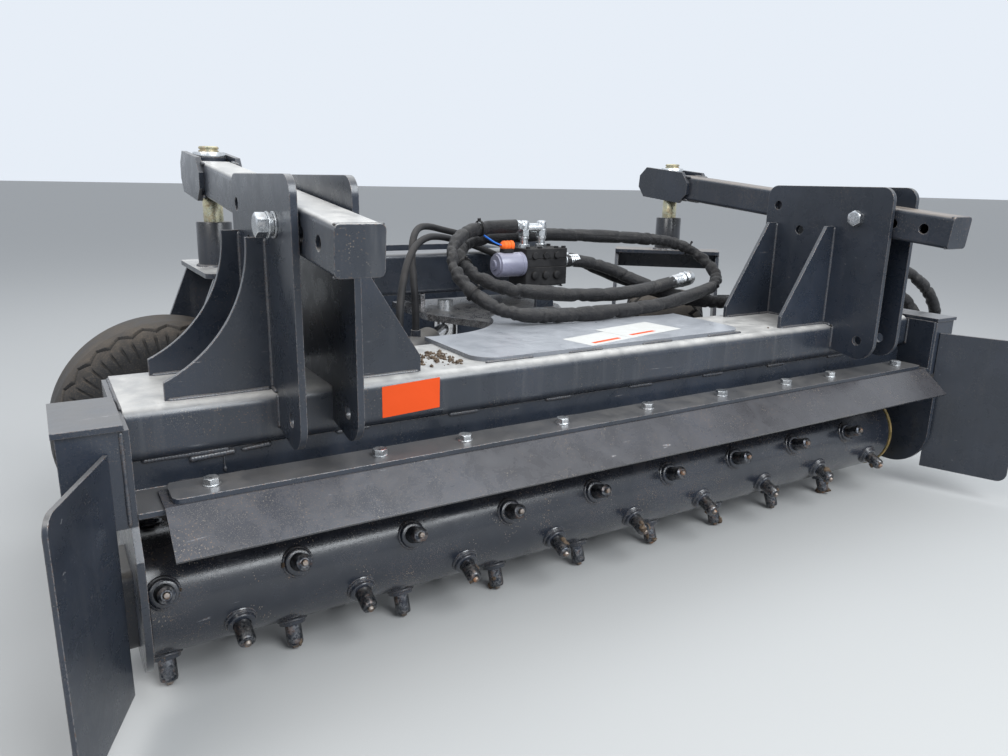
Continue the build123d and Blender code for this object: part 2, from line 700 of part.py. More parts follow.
# Turning joint: a cover plate over the beam, a lower plate behind it and the swivel plate between.
swivel_top = BEAM_TOP - SEAT_GAP
swivel_bottom = swivel_top - SWIVEL_T
lower_top = swivel_bottom - SEAT_GAP
with BuildPart() as cover_plate:
    with BuildSketch(level(BEAM_TOP)):
        with BuildLine():
            Polyline(
                (-COVER_NECK_HALF, COVER_NOSE_Y - COVER_TIP),
                (-COVER_NECK_HALF + COVER_TIP, COVER_NOSE_Y),
                (COVER_NECK_HALF - COVER_TIP, COVER_NOSE_Y),
                (COVER_NECK_HALF, COVER_NOSE_Y - COVER_TIP),
            )
            ThreePointArc(
                (COVER_NECK_HALF, COVER_NOSE_Y - COVER_TIP),
                (COVER_NECK_HALF + COVER_HOLLOW[0], COVER_WAIST_Y + COVER_HOLLOW[1]),
                (COVER_HALF, COVER_WAIST_Y),
            )
            Polyline(
                (COVER_HALF, COVER_WAIST_Y),
                (COVER_HALF, COVER_FRONT),
                (-COVER_HALF, COVER_FRONT),
                (-COVER_HALF, COVER_WAIST_Y),
            )
            ThreePointArc(
                (-COVER_HALF, COVER_WAIST_Y),
                (-COVER_NECK_HALF - COVER_HOLLOW[0], COVER_WAIST_Y + COVER_HOLLOW[1]),
                (-COVER_NECK_HALF, COVER_NOSE_Y - COVER_TIP),
            )
        cover_outline = make_face()
        fillet(cover_outline.vertices().group_by(Axis.Y)[0], radius=COVER_CORNER)
        with Locations((0, KING_Y)):
            Circle(KING_R + SEAT_GAP, mode=Mode.SUBTRACT)
    extrude(amount=COVER_T)
write(cover_plate.part, "cover_plate")

with BuildPart() as lower_plate:
    with BuildSketch(level(lower_top)):
        with BuildLine():
            Polyline(
                (-SWIVEL_EYE_R, KING_Y),
                (-LOWER_HALF, BEAM_DEPTH),
                (LOWER_HALF, BEAM_DEPTH),
                (SWIVEL_EYE_R, KING_Y),
            )
            ThreePointArc((SWIVEL_EYE_R, KING_Y), (0, KING_Y + SWIVEL_EYE_R), (-SWIVEL_EYE_R, KING_Y))
        make_face()
        with Locations((0, KING_Y)):
            Circle(KING_R + SEAT_GAP, mode=Mode.SUBTRACT)
    extrude(amount=-LOWER_T)
write(lower_plate.part, "lower_plate")

with BuildPart() as kingpin:
    with BuildSketch(upright(0, KING_Y, lower_top - LOWER_T - KING_HEAD_T)):
        Circle(KING_HEAD_R)
    extrude(amount=KING_HEAD_T)
    with BuildSketch(upright(0, KING_Y, lower_top - LOWER_T)):
        Circle(KING_R)
    extrude(amount=BEAM_TOP + COVER_T - lower_top + LOWER_T)
    with BuildSketch(upright(0, KING_Y, BEAM_TOP + COVER_T)):
        RegularPolygon(KING_HEAD_R, 6)
    extrude(amount=2 * KING_HEAD_T)
write(kingpin.part, "kingpin")

with BuildPart() as swivel_plate:
    with BuildSketch(level(swivel_bottom)):
        with BuildLine():
            Polyline(
                (SWIVEL_EYE_R, KING_Y),
                (SWIVEL_HALF, KING_Y + 2 * SWIVEL_EYE_R),
                (SWIVEL_HALF, CROSS_Y + CROSS_TUBE),
                (-SWIVEL_HALF, CROSS_Y + CROSS_TUBE),
                (-SWIVEL_HALF, KING_Y + 2 * SWIVEL_EYE_R),
                (-SWIVEL_EYE_R, KING_Y),
            )
            ThreePointArc((-SWIVEL_EYE_R, KING_Y), (0, KING_Y - SWIVEL_EYE_R), (SWIVEL_EYE_R, KING_Y))
        make_face()
        with Locations((0, KING_Y)):
            Circle(KING_R + FIT_GAP, mode=Mode.SUBTRACT)
        with Locations(CYL_PIN):
            Circle(CYL_PIN_R, mode=Mode.SUBTRACT)
    extrude(amount=SWIVEL_T)
    for web in (-RISER_X, RISER_X):
        with BuildSketch(level(swivel_top)):
            with Locations((web, CROSS_Y + CROSS_TUBE / 2)):
                Rectangle(RISER_T, CROSS_TUBE)
        extrude(amount=CROSS_BOTTOM - swivel_top)
write(swivel_plate.part, "swivel_plate")

with BuildPart() as cross_beam:
    with BuildSketch(across(-CROSS_HALF)):
        with Locations((CROSS_Y + CROSS_TUBE / 2, CROSS_BOTTOM + CROSS_TUBE / 2)):
            RectangleRounded(CROSS_TUBE, CROSS_TUBE, CROSS_CORNER)
    extrude(amount=2 * CROSS_HALF)
write(cross_beam.part, "cross_beam")

# Rails from the cross beam to the coupler plate, which rests against their ends.
with BuildPart() as rails:
    rail_plane = Plane(origin=(0, FACE + CROSS_Y + CROSS_TUBE, 0), x_dir=(1, 0, 0), z_dir=(0, 1, 0))
    for rail_x in (-CROSS_HALF + RAIL_WIDE / 2, CROSS_HALF - RAIL_WIDE / 2):
        with BuildSketch(rail_plane):
            with Locations((rail_x, -(CROSS_BOTTOM + CROSS_TUBE / 2))):
                RectangleRounded(RAIL_WIDE, CROSS_TUBE - 2 * CROSS_CORNER, RAIL_CORNER)
        extrude(amount=PLATE_Y - CROSS_Y - CROSS_TUBE)
write(rails.part, "rails")

with BuildPart() as coupler_plate:
    with BuildSketch(across(-PLATE_HALF)):
        with BuildLine():
            Polyline(
                (PLATE_Y, PLATE_BOTTOM),
                (PLATE_Y, PLATE_TOP),
                (PLATE_Y + PLATE_T, PLATE_TOP),
                (PLATE_Y + PLATE_T + HOOK_DEEP, PLATE_TOP - HOOK_DROP),
                (PLATE_Y + PLATE_T + HOOK_DEEP - HOOK_T / 2, PLATE_TOP - HOOK_DROP - HOOK_T / 2),
                (PLATE_Y + PLATE_T + HOOK_TOE, PLATE_TOP - HOOK_T),
                (PLATE_Y + PLATE_T, PLATE_TOP - HOOK_T),
                (PLATE_Y + PLATE_T, PLATE_BOTTOM + LEDGE_T),
                (PLATE_Y + PLATE_T + LEDGE_DEEP, PLATE_BOTTOM + LEDGE_T),
                (PLATE_Y + PLATE_T + LEDGE_DEEP, PLATE_BOTTOM),
                close=True,
            )
        make_face()
    extrude(amount=2 * PLATE_HALF)
    with BuildSketch(level(PLATE_BOTTOM)):
        with Locations(*[(x, PLATE_Y + PLATE_T + LEDGE_DEEP / 2) for x in (-SLOT_X, SLOT_X)]):
            Rectangle(SLOT_LONG, SLOT_WIDE)
    extrude(amount=LEDGE_T, mode=Mode.SUBTRACT)
write(coupler_plate.part, "coupler_plate")

# Angle cylinder: its barrel turns on a lug behind the beam, its rod reaches the pin in the swivel plate.
cyl_length = hypot(CYL_PIN[0] - CYL_FOOT[0], CYL_PIN[1] - CYL_FOOT[1])
cyl_heading = degrees(atan2(CYL_PIN[1] - CYL_FOOT[1], CYL_PIN[0] - CYL_FOOT[0]))
cyl_turn = radians(cyl_heading)
cyl_dir = Vector(cos(cyl_turn), sin(cyl_turn), 0)


def cyl_section(reach):
    """Plane across the cylinder, at a distance along it from its foot pin."""
    origin = Vector(CYL_FOOT[0], FACE + CYL_FOOT[1], CYL_Z) + cyl_dir * reach
    return Plane(origin=origin, x_dir=(0, 0, 1), z_dir=cyl_dir)


foot_eye = upright(CYL_FOOT[0], CYL_FOOT[1], CYL_Z - CYL_EYE_T / 2)
with BuildPart() as barrel:
    with BuildSketch(foot_eye):
        Circle(CYL_EYE_R)
    extrude(amount=CYL_EYE_T)
    with BuildSketch(cyl_section(0)):
        Circle(CYL_NECK_R)
    extrude(amount=CYL_TUBE_FROM)
    with BuildSketch(cyl_section(CYL_TUBE_FROM)):
        Circle(CYL_R)
    extrude(amount=CYL_TUBE_TO - CYL_TUBE_FROM)
    for reach in CYL_PORTS:
        with BuildSketch(upright(CYL_FOOT[0] + cyl_dir.X * reach, CYL_FOOT[1] + cyl_dir.Y * reach, CYL_Z)):
            Circle(CYL_PORT_R)
        extrude(amount=PORT_TOP - CYL_Z)
    with BuildSketch(cyl_section(CYL_TUBE_FROM + CYL_NECK_R)):
        Circle(ROD_R + FIT_GAP)
    extrude(amount=CYL_TUBE_TO, mode=Mode.SUBTRACT)
    with BuildSketch(foot_eye):
        Circle(CYL_PIN_R + FIT_GAP)
    extrude(amount=CYL_EYE_T, mode=Mode.SUBTRACT)
write(barrel.part, "barrel")

rod_from = CYL_TUBE_FROM + CYL_NECK_R + ROD_IN
with BuildPart() as rod:
    with BuildSketch(cyl_section(rod_from)):
        Circle(ROD_R)
    extrude(amount=cyl_length - rod_from - (ROD_EYE_R + CYL_OPEN_R) / 2)
    with BuildSketch(upright(CYL_PIN[0], CYL_PIN[1], CYL_Z - CYL_EYE_T / 2)):
        Circle(ROD_EYE_R)
    extrude(amount=CYL_EYE_T)
    with BuildSketch(upright(CYL_PIN[0], CYL_PIN[1], CYL_Z - CYL_EYE_T / 2)):
        Circle(CYL_OPEN_R)
    extrude(amount=CYL_EYE_T, mode=Mode.SUBTRACT)
write(rod.part, "rod")

with BuildPart() as cylinder_lug:
    for lug_z in (CYL_Z - CYL_EYE_T / 2 - LUG_GAP - LUG_T, CYL_Z + CYL_EYE_T / 2 + LUG_GAP):
        with BuildSketch(level(lug_z)):
            with BuildLine():
                Polyline(
                    (CYL_FOOT[0] + CYL_EYE_R, CYL_FOOT[1]),
                    (CYL_FOOT[0] + LUG_BASE_HALF, BEAM_DEPTH),
                    (CYL_FOOT[0] - LUG_BASE_HALF, BEAM_DEPTH),
                    (CYL_FOOT[0] - CYL_EYE_R, CYL_FOOT[1]),
                )
                ThreePointArc(
                    (CYL_FOOT[0] - CYL_EYE_R, CYL_FOOT[1]),
                    (CYL_FOOT[0], CYL_FOOT[1] + CYL_EYE_R),
                    (CYL_FOOT[0] + CYL_EYE_R, CYL_FOOT[1]),
                )
            make_face()
        extrude(amount=LUG_T)
    with BuildSketch(upright(CYL_FOOT[0], CYL_FOOT[1], CYL_Z - CYL_EYE_T / 2 - LUG_GAP - LUG_T)):
        Circle(CYL_PIN_R)
    extrude(amount=CYL_EYE_T + 2 * LUG_GAP + 2 * LUG_T)
    with BuildSketch(across(CYL_FOOT[0] - LUG_BASE_HALF)):
        with Locations((BEAM_DEPTH + LUG_BASE_T / 2, CYL_Z)):
            Rectangle(LUG_BASE_T, CYL_EYE_T + 2 * LUG_GAP + 2 * LUG_T)
    extrude(amount=2 * LUG_BASE_HALF)
write(cylinder_lug.part, "cylinder_lug")

with BuildPart() as cylinder_pin:
    with BuildSketch(upright(CYL_PIN[0], CYL_PIN[1], CYL_Z - CYL_EYE_T / 2 - CYL_PIN_PROUD)):
        Circle(CYL_PIN_R)
    extrude(amount=swivel_top - CYL_Z + CYL_EYE_T / 2 + CYL_PIN_PROUD)
    with BuildSketch(upright(CYL_PIN[0], CYL_PIN[1], swivel_top)):
        Circle(CYL_PIN_HEAD[0])
    extrude(amount=CYL_PIN_HEAD[1])
write(cylinder_pin.part, "cylinder_pin")

# Valve block on its bracket at the nose of the cover plate.
block_left = BLOCK_AT[0] - BLOCK[0] / 2
block_right = BLOCK_AT[0] + BLOCK[0] / 2
block_front = BLOCK_AT[1] - BLOCK[1] / 2
block_back = BLOCK_AT[1] + BLOCK[1] / 2
block_top = BLOCK_BOTTOM + BLOCK[2]
cover_top = BEAM_TOP + COVER_T
bracket_wall = COVER_NOSE_Y - 2 * BRACKET_T
with BuildPart() as block_bracket:
    with BuildSketch(across(BRACKET_WIDE[0])):
        with BuildLine():
            Polyline(
                (BRACKET_FOOT, cover_top),
                (bracket_wall + BRACKET_T, cover_top),
                (bracket_wall + BRACKET_T, BLOCK_BOTTOM - BRACKET_T),
                (block_back, BLOCK_BOTTOM - BRACKET_T),
                (block_back, BLOCK_BOTTOM),
                (bracket_wall, BLOCK_BOTTOM),
                (bracket_wall, cover_top + BRACKET_T),
                (BRACKET_FOOT, cover_top + BRACKET_T),
                close=True,
            )
        make_face()
    extrude(amount=BRACKET_WIDE[1] - BRACKET_WIDE[0])
write(block_bracket.part, "block_bracket")

with BuildPart() as valve_block:
    with BuildSketch(level(BLOCK_BOTTOM)):
        with Locations(BLOCK_AT):
            block_outline = Rectangle(BLOCK[0], BLOCK[1])
        chamfer(block_outline.vertices(), length=BRACKET_T / 2)
    extrude(amount=BLOCK[2])
write(valve_block.part, "valve_block")

with BuildPart() as solenoid:
    with BuildSketch(across(block_left)):
        with Locations(SOLENOID_AT):
            Circle(SOLENOID_R)
    extrude(amount=-SOLENOID_L)
write(solenoid.part, "solenoid")

with BuildPart() as plug:
    with BuildSketch(level(SOLENOID_AT[1] + SOLENOID_R)):
        with Locations(PLUG_AT):
            Rectangle(PLUG[0], PLUG[1])
    extrude(amount=PLUG[2])
write(plug.part, "plug")

# Hoses: each runs along hand-placed points (x, distance behind the face, height), the corners rounded by tangent arcs.
motor_port_x = BEAM_HALF + SIDE_T + MOTOR_T + PORT_L
PORTS = [(CYL_FOOT[0] + cyl_dir.X * reach, CYL_FOOT[1] + cyl_dir.Y * reach) for reach in CYL_PORTS]
HOSES = {
    "hose_motor_front": (HOSE_R, (
        (block_right, 457, 560), (204, 457, 560), (276, 438, 540), (355, 394, 500), (445, 350, 466),
        (535, 312, 450), (640, 284, 452), (750, 268, 472), (860, 244, 508), (960, 204, 540),
        (1060, 162, 544), (1140, 128, 508), (1188, 104, 444), (1206, 94, 366), (1208, 90, 290),
        (1192, 88, 222), (1158, 88, 168), (1106, 88, 140), (1056, 88, AXLE_Z), (motor_port_x, 88, AXLE_Z),
    )),
    "hose_motor_back": (HOSE_R, (
        (block_right, 502, 562), (206, 502, 562), (290, 478, 528), (375, 434, 490), (465, 386, 462),
        (550, 350, 450), (650, 326, 448), (760, 308, 458), (868, 284, 480), (968, 246, 502),
        (1060, 204, 502), (1124, 166, 464), (1158, 132, 400), (1172, 96, 326), (1168, 66, 254),
        (1140, 50, 192), (1092, 45, 152), (1048, 44, AXLE_Z), (motor_port_x, 44, AXLE_Z),
    )),
    "hose_feed": (HOSE_R, (
        (ELBOW_X[0] - ELBOW_REACH, 480, ELBOW_PORT_Z), (-60, 480, ELBOW_PORT_Z), (-131, 465, 633), (-183, 425, 601),
        (-202, 371, 556), (-183, 317, 510), (-131, 277, 477), (-60, 262, 465), (30, 254, 464),
        (130, 250, 464), (240, 256, 465), (350, 270, 472), (470, 292, 488), (525, 305, 498),
        (565, 339, 517), (580, 385, 545), (565, 431, 573), (525, 465, 595), (470, 478, 604),
        (385, 486, 610), (290, 506, 615), (195, 538, 618), (100, 556, 618), (-20, 556, 612),
        (-78, 541, 605), (-121, 503, 585), (-137, 451, 559), (-121, 399, 533), (-78, 361, 513),
        (-20, 346, 506), (60, 332, 497), (150, 320, 492), (240, 316, 493), (325, 322, 499),
        (400, 334, 508),
    )),
    "hose_cylinder_base": (THIN_HOSE_R, (
        (BLOCK_AT[0] - 20, block_back, 548), (68, 572, 548), (44, 618, 566), (-12, 640, 590), (-76, 622, 606),
        (-138, 574, 617), (-202, 506, 622), (-262, 440, 610), (-308, 384, 578), (-340, 340, 526),
        (PORTS[0][0], PORTS[0][1], 478), (PORTS[0][0], PORTS[0][1], PORT_TOP),
    )),
    "hose_cylinder_rod": (THIN_HOSE_R, (
        (BLOCK_AT[0] + 10, block_back, 570), (98, 576, 570), (80, 626, 588), (34, 660, 602), (-24, 670, 614),
        (-88, 650, 627), (-150, 604, 640), (-206, 544, 642), (-248, 484, 622), (-272, 438, 580),
        (-279, 411, 528), (PORTS[1][0], PORTS[1][1], 480), (PORTS[1][0], PORTS[1][1], PORT_TOP),
    )),
}
for node, (radius, route) in HOSES.items():
    points = [Vector(x, FACE + back, z) for x, back, z in route]
    runs = [after - before for before, after in zip(points, points[1:])]
    turns = [radians(before.get_angle(after)) for before, after in zip(runs, runs[1:])]
    radii = [
        ARC_SHARE * min(before.length, after.length) / tan(turn / 2)
        for before, after, turn in zip(runs, runs[1:], turns)
    ]
    with BuildPart() as hose:
        with BuildLine() as hose_line:
            FilletPolyline(*points, radius=radii)
        with BuildSketch(Plane(origin=points[0], z_dir=runs[0])):
            Circle(radius)
        sweep(path=hose_line.line)
    write(hose.part, node)
    length = hose_line.wires()[0].length
    print(node, "length", round(length), "radii", [round(r) for r in radii])
    print("  volume over section times length", round(hose.part.volume / (pi * radius**2 * length), 4))

# Fittings: elbows on the valve block, ports of the motor and the coupling at the feed hose's free end.
feed_end, feed_before = [Vector(x, FACE + back, z) for x, back, z in HOSES["hose_feed"][1][:-3:-1]]
feed_dir = (feed_end - feed_before).normalized()
with BuildPart() as fittings:
    for elbow_x in ELBOW_X:
        with BuildSketch(upright(elbow_x, BLOCK_AT[1], block_top)):
            Circle(ELBOW_R)
        extrude(amount=ELBOW_TOP - block_top)
    with BuildSketch(across(ELBOW_X[0])):
        with Locations((BLOCK_AT[1], ELBOW_PORT_Z)):
            Circle(ELBOW_R - 1)
    extrude(amount=-ELBOW_REACH)
    for port_y in MOTOR_PORTS:
        with BuildSketch(across(BEAM_HALF + SIDE_T + MOTOR_T)):
            with Locations((port_y, AXLE_Z)):
                Circle(PORT_R)
        extrude(amount=PORT_L)
    with BuildSketch(Plane(origin=feed_end, z_dir=feed_dir)):
        Circle(COUPLING_R)
    extrude(amount=COUPLING_L)
write(fittings.part, "fittings")

print("face", FACE, "axle height", AXLE_Z, "cylinder", cyl_length, cyl_heading)
print("swivel plate", swivel_bottom, swivel_top, "length", FRONT_REACH + BACK_REACH)
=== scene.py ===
import bmesh
import bpy
import math
import numpy as np
from mathutils import Matrix, Vector


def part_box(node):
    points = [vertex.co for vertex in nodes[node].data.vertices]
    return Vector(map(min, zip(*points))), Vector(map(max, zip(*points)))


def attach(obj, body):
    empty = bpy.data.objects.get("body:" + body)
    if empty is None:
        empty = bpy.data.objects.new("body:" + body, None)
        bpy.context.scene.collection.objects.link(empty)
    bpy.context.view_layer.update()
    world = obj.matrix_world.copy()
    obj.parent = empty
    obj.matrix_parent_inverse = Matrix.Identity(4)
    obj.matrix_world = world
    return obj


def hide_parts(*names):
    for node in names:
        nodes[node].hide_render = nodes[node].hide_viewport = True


# Looks of the power rake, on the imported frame. Places are written as (x, back, z) in millimetres, where
# back is the distance behind the front face of the beam, and at() turns them into metres of the frame.

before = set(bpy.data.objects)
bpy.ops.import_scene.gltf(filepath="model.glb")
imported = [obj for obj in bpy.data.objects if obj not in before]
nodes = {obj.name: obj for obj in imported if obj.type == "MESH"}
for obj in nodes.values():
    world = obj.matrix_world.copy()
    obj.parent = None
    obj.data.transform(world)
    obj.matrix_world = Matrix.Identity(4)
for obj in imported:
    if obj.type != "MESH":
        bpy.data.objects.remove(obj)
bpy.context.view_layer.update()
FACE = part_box("beam")[0].y

UP, RIGHT, LEFT = (0, 0, 1), (1, 0, 0), (-1, 0, 0)
SIDES = {"left": -1, "right": 1}
AXLE_BACK, AXLE_Z = 66.0, 135.414
DRUM_LEFT, DRUM_RIGHT, DRUM_R, SHAFT_R = -893.0, 840.0, 97.0, 30.0
STUD_ROWS, STUDS_IN_ROW = 8, 9
ROW_START, ROW_SHIFT, STUD_PITCH = 21.0, 102.0, 192.0
BEAM_TOP, BEAM_HALF, COVER_TOP, STRIP_TOP = 439, 897, 447, 331
BRACKET_X, EAR_OUTSIDE, GUSSET = 643.0, 46.5, 8
PIVOT_BACK, PIVOT_Z, ARM_TILT = -29.0, 684.0, 5.7
CASTER_BACK, TRAIL, TYRE_R, FORK_TOP, KINGPIN_BACK = 620.0, 118.0, 228.5, 562, 342
HEADING = {"left": 180.0, "right": 228.6}
BLOCK_MIDDLE, BLOCK_TOP = (88, 480), 593
SLEEVED, BARE = 16.0, 8.0


def at(x, back, z):
    """A place in millimetres as a point of the frame in metres."""
    return np.array([x / 1000, FACE + back / 1000, z / 1000])


def raised(point, height):
    """The point moved up by a height in millimetres."""
    return point + np.array([0, 0, height / 1000])


# Mesh helpers

def angles(count):
    """Angles spread evenly over one turn."""
    return np.linspace(0, 2 * np.pi, count, endpoint=False)


def shown(name, data):
    """A new object of the mesh, light or camera, in the scene."""
    obj = bpy.data.objects.new(name, data)
    bpy.context.scene.collection.objects.link(obj)
    return obj


class Form:
    """Collects surfaces, each given as whole arrays, into the points and faces of one mesh."""

    def __init__(self):
        self.points = []
        self.faces = []
        self.slots = []
        self.flow = []
        self.count = 0

    def add(self, points, faces, slot=0, flow=None):
        points = np.asarray(points, float).reshape(-1, 3)
        self.points.append(points)
        flow = np.zeros((len(points), 3)) if flow is None else np.asarray(flow, float)
        self.flow.append(flow.reshape(-1, 3))
        self.faces += [[i + self.count for i in face] for face in np.asarray(faces).tolist()]
        self.slots += [slot] * len(faces)
        self.count += len(points)


def grid_faces(rows, cols, close_rows=False, close_cols=False):
    """Quads over a grid of points, whose last row or column may join the first."""
    row = np.arange(rows if close_rows else rows - 1)[:, None]
    col = np.arange(cols if close_cols else cols - 1)[None, :]
    down, over = (row + 1) % rows, (col + 1) % cols
    quads = [row * cols + col, row * cols + over, down * cols + over, down * cols + col]
    return np.stack(quads, -1).reshape(-1, 4)


def basis(axis):
    """Three unit vectors u, v, w with w along the axis and v as near to upright as that allows, or to the
    back where the axis itself stands upright."""
    w = np.array(axis, float)
    w /= np.linalg.norm(w)
    hint = np.array([0.0, 0.0, 1.0])
    if abs(hint @ w) > 0.95:
        hint = np.array([0.0, 1.0, 0.0])
    v = hint - (hint @ w) * w
    v /= np.linalg.norm(v)
    return np.cross(v, w), v, w


def lathe(form, profile, centre, axis, sides=32, slot=0):
    """Surface of revolution: centre + h w + r (u cos a + v sin a) for each (r, h) of the profile, which is
    in millimetres."""
    u, v, w = basis(axis)
    a = angles(sides)
    ring = np.cos(a)[:, None] * u + np.sin(a)[:, None] * v
    r = np.array([p[0] for p in profile])[:, None, None] / 1000
    h = np.array([p[1] for p in profile])[:, None, None] / 1000
    points = centre + h * w + r * ring[None]
    form.add(points, grid_faces(len(profile), sides, close_cols=True), slot)


def hex_head(form, centre, axis, flats, height, turn=0.0):
    """Hexagon head: at angle a its side lies at flats / 2 / cos(a - the middle of that flat), and its top
    falls by half of what the radius passes the chamfer circle of 0.47 flats."""
    sides, hub = 60, 1e-4
    u, v, w = basis(axis)
    a = angles(sides)
    side = flats / 2 / np.cos((a + np.pi / 6) % (np.pi / 3) - np.pi / 6)
    rings = [np.full_like(side, hub)] + [side * share for share in (0.55, 0.8, 0.9, 0.96, 1.0)]
    heights = [height - np.maximum(0, radius - 0.47 * flats) * 0.5 for radius in rings]
    rings += [side, np.full_like(side, hub)]
    heights += [np.zeros_like(side)] * 2
    r, h = np.array(rings)[..., None] / 1000, np.array(heights)[..., None] / 1000
    ring = np.cos(a + turn)[:, None] * u + np.sin(a + turn)[:, None] * v
    form.add(centre + h * w + r * ring[None], grid_faces(len(rings), sides, close_cols=True))


def slab(form, outline, lift, depth, edge=1.0, slot=0, origin=None, axes=None):
    """Plate with chamfered edges: the outline, drawn in the plane of the first two axes, at heights lift
    to lift + depth. The top and bottom rings are the outline moved inwards by edge, along the bisector of
    each corner."""
    pts = np.array(outline, float)
    before, after = np.roll(pts, 1, 0), np.roll(pts, -1, 0)
    d0 = (pts - before) / np.linalg.norm(pts - before, axis=1)[:, None]
    d1 = (after - pts) / np.linalg.norm(after - pts, axis=1)[:, None]
    area = 0.5 * np.sum(pts[:, 0] * after[:, 1] - after[:, 0] * pts[:, 1])
    sign = 1.0 if area > 0 else -1.0
    n0, n1 = np.stack([-d0[:, 1], d0[:, 0]], 1) * sign, np.stack([-d1[:, 1], d1[:, 0]], 1) * sign
    inward = (n0 + n1) / np.maximum(1 + np.sum(n0 * n1, 1), 0.3)[:, None]
    inner = pts + inward * edge
    u, v, w = np.eye(3) if axes is None else axes
    origin = at(0, 0, 0) if origin is None else origin
    top = lift + depth
    rings = []
    for ring, height in ((inner, lift), (pts, lift + edge), (pts, top - edge), (inner, top)):
        rings.append(origin + (ring[:, :1] * u + ring[:, 1:] * v + height * w) / 1000)
    count = len(pts)
    form.add(np.array(rings), grid_faces(4, count, close_cols=True), slot)
    form.add(rings[0], [list(range(count))], slot)
    form.add(rings[3], [list(range(count))], slot)


def rounded(width, depth, radius, middle=(0.0, 0.0), steps=6):
    """Outline of a rectangle with round corners."""
    points = []
    for corner, (sx, sy) in enumerate(((1, 1), (-1, 1), (-1, -1), (1, -1))):
        for step in range(steps + 1):
            a = math.pi / 2 * (corner + step / steps)
            points.append((middle[0] + sx * (width / 2 - radius) + radius * math.cos(a),
                           middle[1] + sy * (depth / 2 - radius) + radius * math.sin(a)))
    return points


def carry(line):
    """Frames along a line of points, carried on from one to the next without twist: tangents, u and v."""
    tangent = np.gradient(line, axis=0)
    tangent /= np.linalg.norm(tangent, axis=1)[:, None]
    u = np.zeros_like(line)
    u[0] = basis(tangent[0])[0]
    for i in range(1, len(line)):
        w = u[i - 1] - (u[i - 1] @ tangent[i]) * tangent[i]
        u[i] = w / np.linalg.norm(w)
    return tangent, u, np.cross(tangent, u)


def along(line):
    """The distance of each point along a line."""
    return np.concatenate([[0], np.cumsum(np.linalg.norm(np.diff(line, axis=0), axis=1))])


def tube(form, line, radius, sides=12, flow=False):
    """Tube round a line: point = line(s) + radius(s, a) (u cos a + v sin a), in metres, closed at both
    ends. radius may be a whole array."""
    tangent, u, v = carry(line)
    a = angles(sides)
    if np.ndim(radius) < 2:
        radius = np.asarray(radius, float).reshape(-1, 1)
    radius = np.broadcast_to(radius, (len(line), sides))
    ring = np.cos(a)[None, :, None] * u[:, None] + np.sin(a)[None, :, None] * v[:, None]
    points = line[:, None] + radius[..., None] * ring
    uv = np.zeros_like(points)
    if flow:
        uv = np.stack(np.broadcast_arrays(along(line)[:, None], a[None] / (2 * np.pi), 0 * a[None]), -1)
    form.add(points, grid_faces(len(line), sides, close_cols=True), flow=uv)
    for end in (0, -1):
        form.add(points[end], [list(range(sides))], flow=uv[end])


def bead(form, start, end, size=5.0, seed=0):
    """Weld bead: a tube on the corner line between two plates, whose radius is
    0.8 size (1 + 0.07 cos(2 pi s / 4.5) + slow noise) and tapers at both ends."""
    start, end = np.array(start, float), np.array(end, float)
    length = np.linalg.norm(end - start) * 1000
    s = np.linspace(0, 1, max(4, int(length / 1.5)))
    rng = np.random.default_rng(abs(seed) + int(length))
    knots = max(3, int(length / 25))
    slow = np.interp(s * length, np.linspace(0, length, knots), rng.normal(0, 0.14, knots))
    radius = 0.8 * size * (1 + 0.07 * np.cos(2 * np.pi * s * length / 4.5 + 6 * slow) + slow) / 1000
    radius *= np.minimum(1, np.minimum(s, 1 - s) * length / (0.9 * size) + 0.35)
    tube(form, start + s[:, None] * (end - start), radius, 8)


def seam(form, x, back, z, size, seed=0):
    """Weld bead between two places, where each of x, back and z is one value or the pair of its ends."""
    ends = [value if isinstance(value, tuple) else (value, value) for value in (x, back, z)]
    bead(form, at(*(pair[0] for pair in ends)), at(*(pair[1] for pair in ends)), size, seed)


def ring_bead(form, centre, axis, radius, size=5.0, slot=0):
    """Weld bead round a pipe: a ring whose thickness is size (1 + 0.16 cos of the same ripple)."""
    u, v, w = basis(axis)
    count = max(24, int(2 * np.pi * radius / 2.2))
    a = angles(count)
    out = np.cos(a)[:, None] * u + np.sin(a)[:, None] * v
    b = angles(8)
    thick = size * (1 + 0.16 * np.cos(a * round(2 * np.pi * radius / 4.5))) / 1000
    thick = thick[:, None, None]
    reach = radius / 1000 + thick * np.cos(b)[None, :, None]
    points = centre + out[:, None] * reach + w * (thick * np.sin(b)[None, :, None])
    form.add(points, grid_faces(count, 8, True, True), slot)


def piece(name, form, looks, body, replaces=(), angle=38, merge=True):
    """Makes the mesh object of a form, with its faces outward and its edges sharp from an angle, and lets
    it ride. looks names the materials of its slots."""
    mesh = bpy.data.meshes.new(name)
    mesh.from_pydata(np.concatenate(form.points).tolist(), [], form.faces)
    for look in looks.split():
        mesh.materials.append(MAT[look])
    mesh.polygons.foreach_set("material_index", np.array(form.slots, np.int32))
    flow = np.concatenate(form.flow)
    if flow.any():
        layer = mesh.attributes.new("flow", "FLOAT_VECTOR", "POINT")
        layer.data.foreach_set("vector", flow.astype(np.float32).ravel())
    work = bmesh.new()
    work.from_mesh(mesh)
    if merge:
        bmesh.ops.remove_doubles(work, verts=work.verts, dist=2e-6)
    bmesh.ops.recalc_face_normals(work, faces=work.faces)
    work.to_mesh(mesh)
    work.free()
    mesh.shade_smooth()
    mesh.set_sharp_from_angle(angle=math.radians(angle))
    obj = shown(name, mesh)
    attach(obj, body)
    if replaces:
        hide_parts(*replaces)
    return obj


# Shader helpers and materials

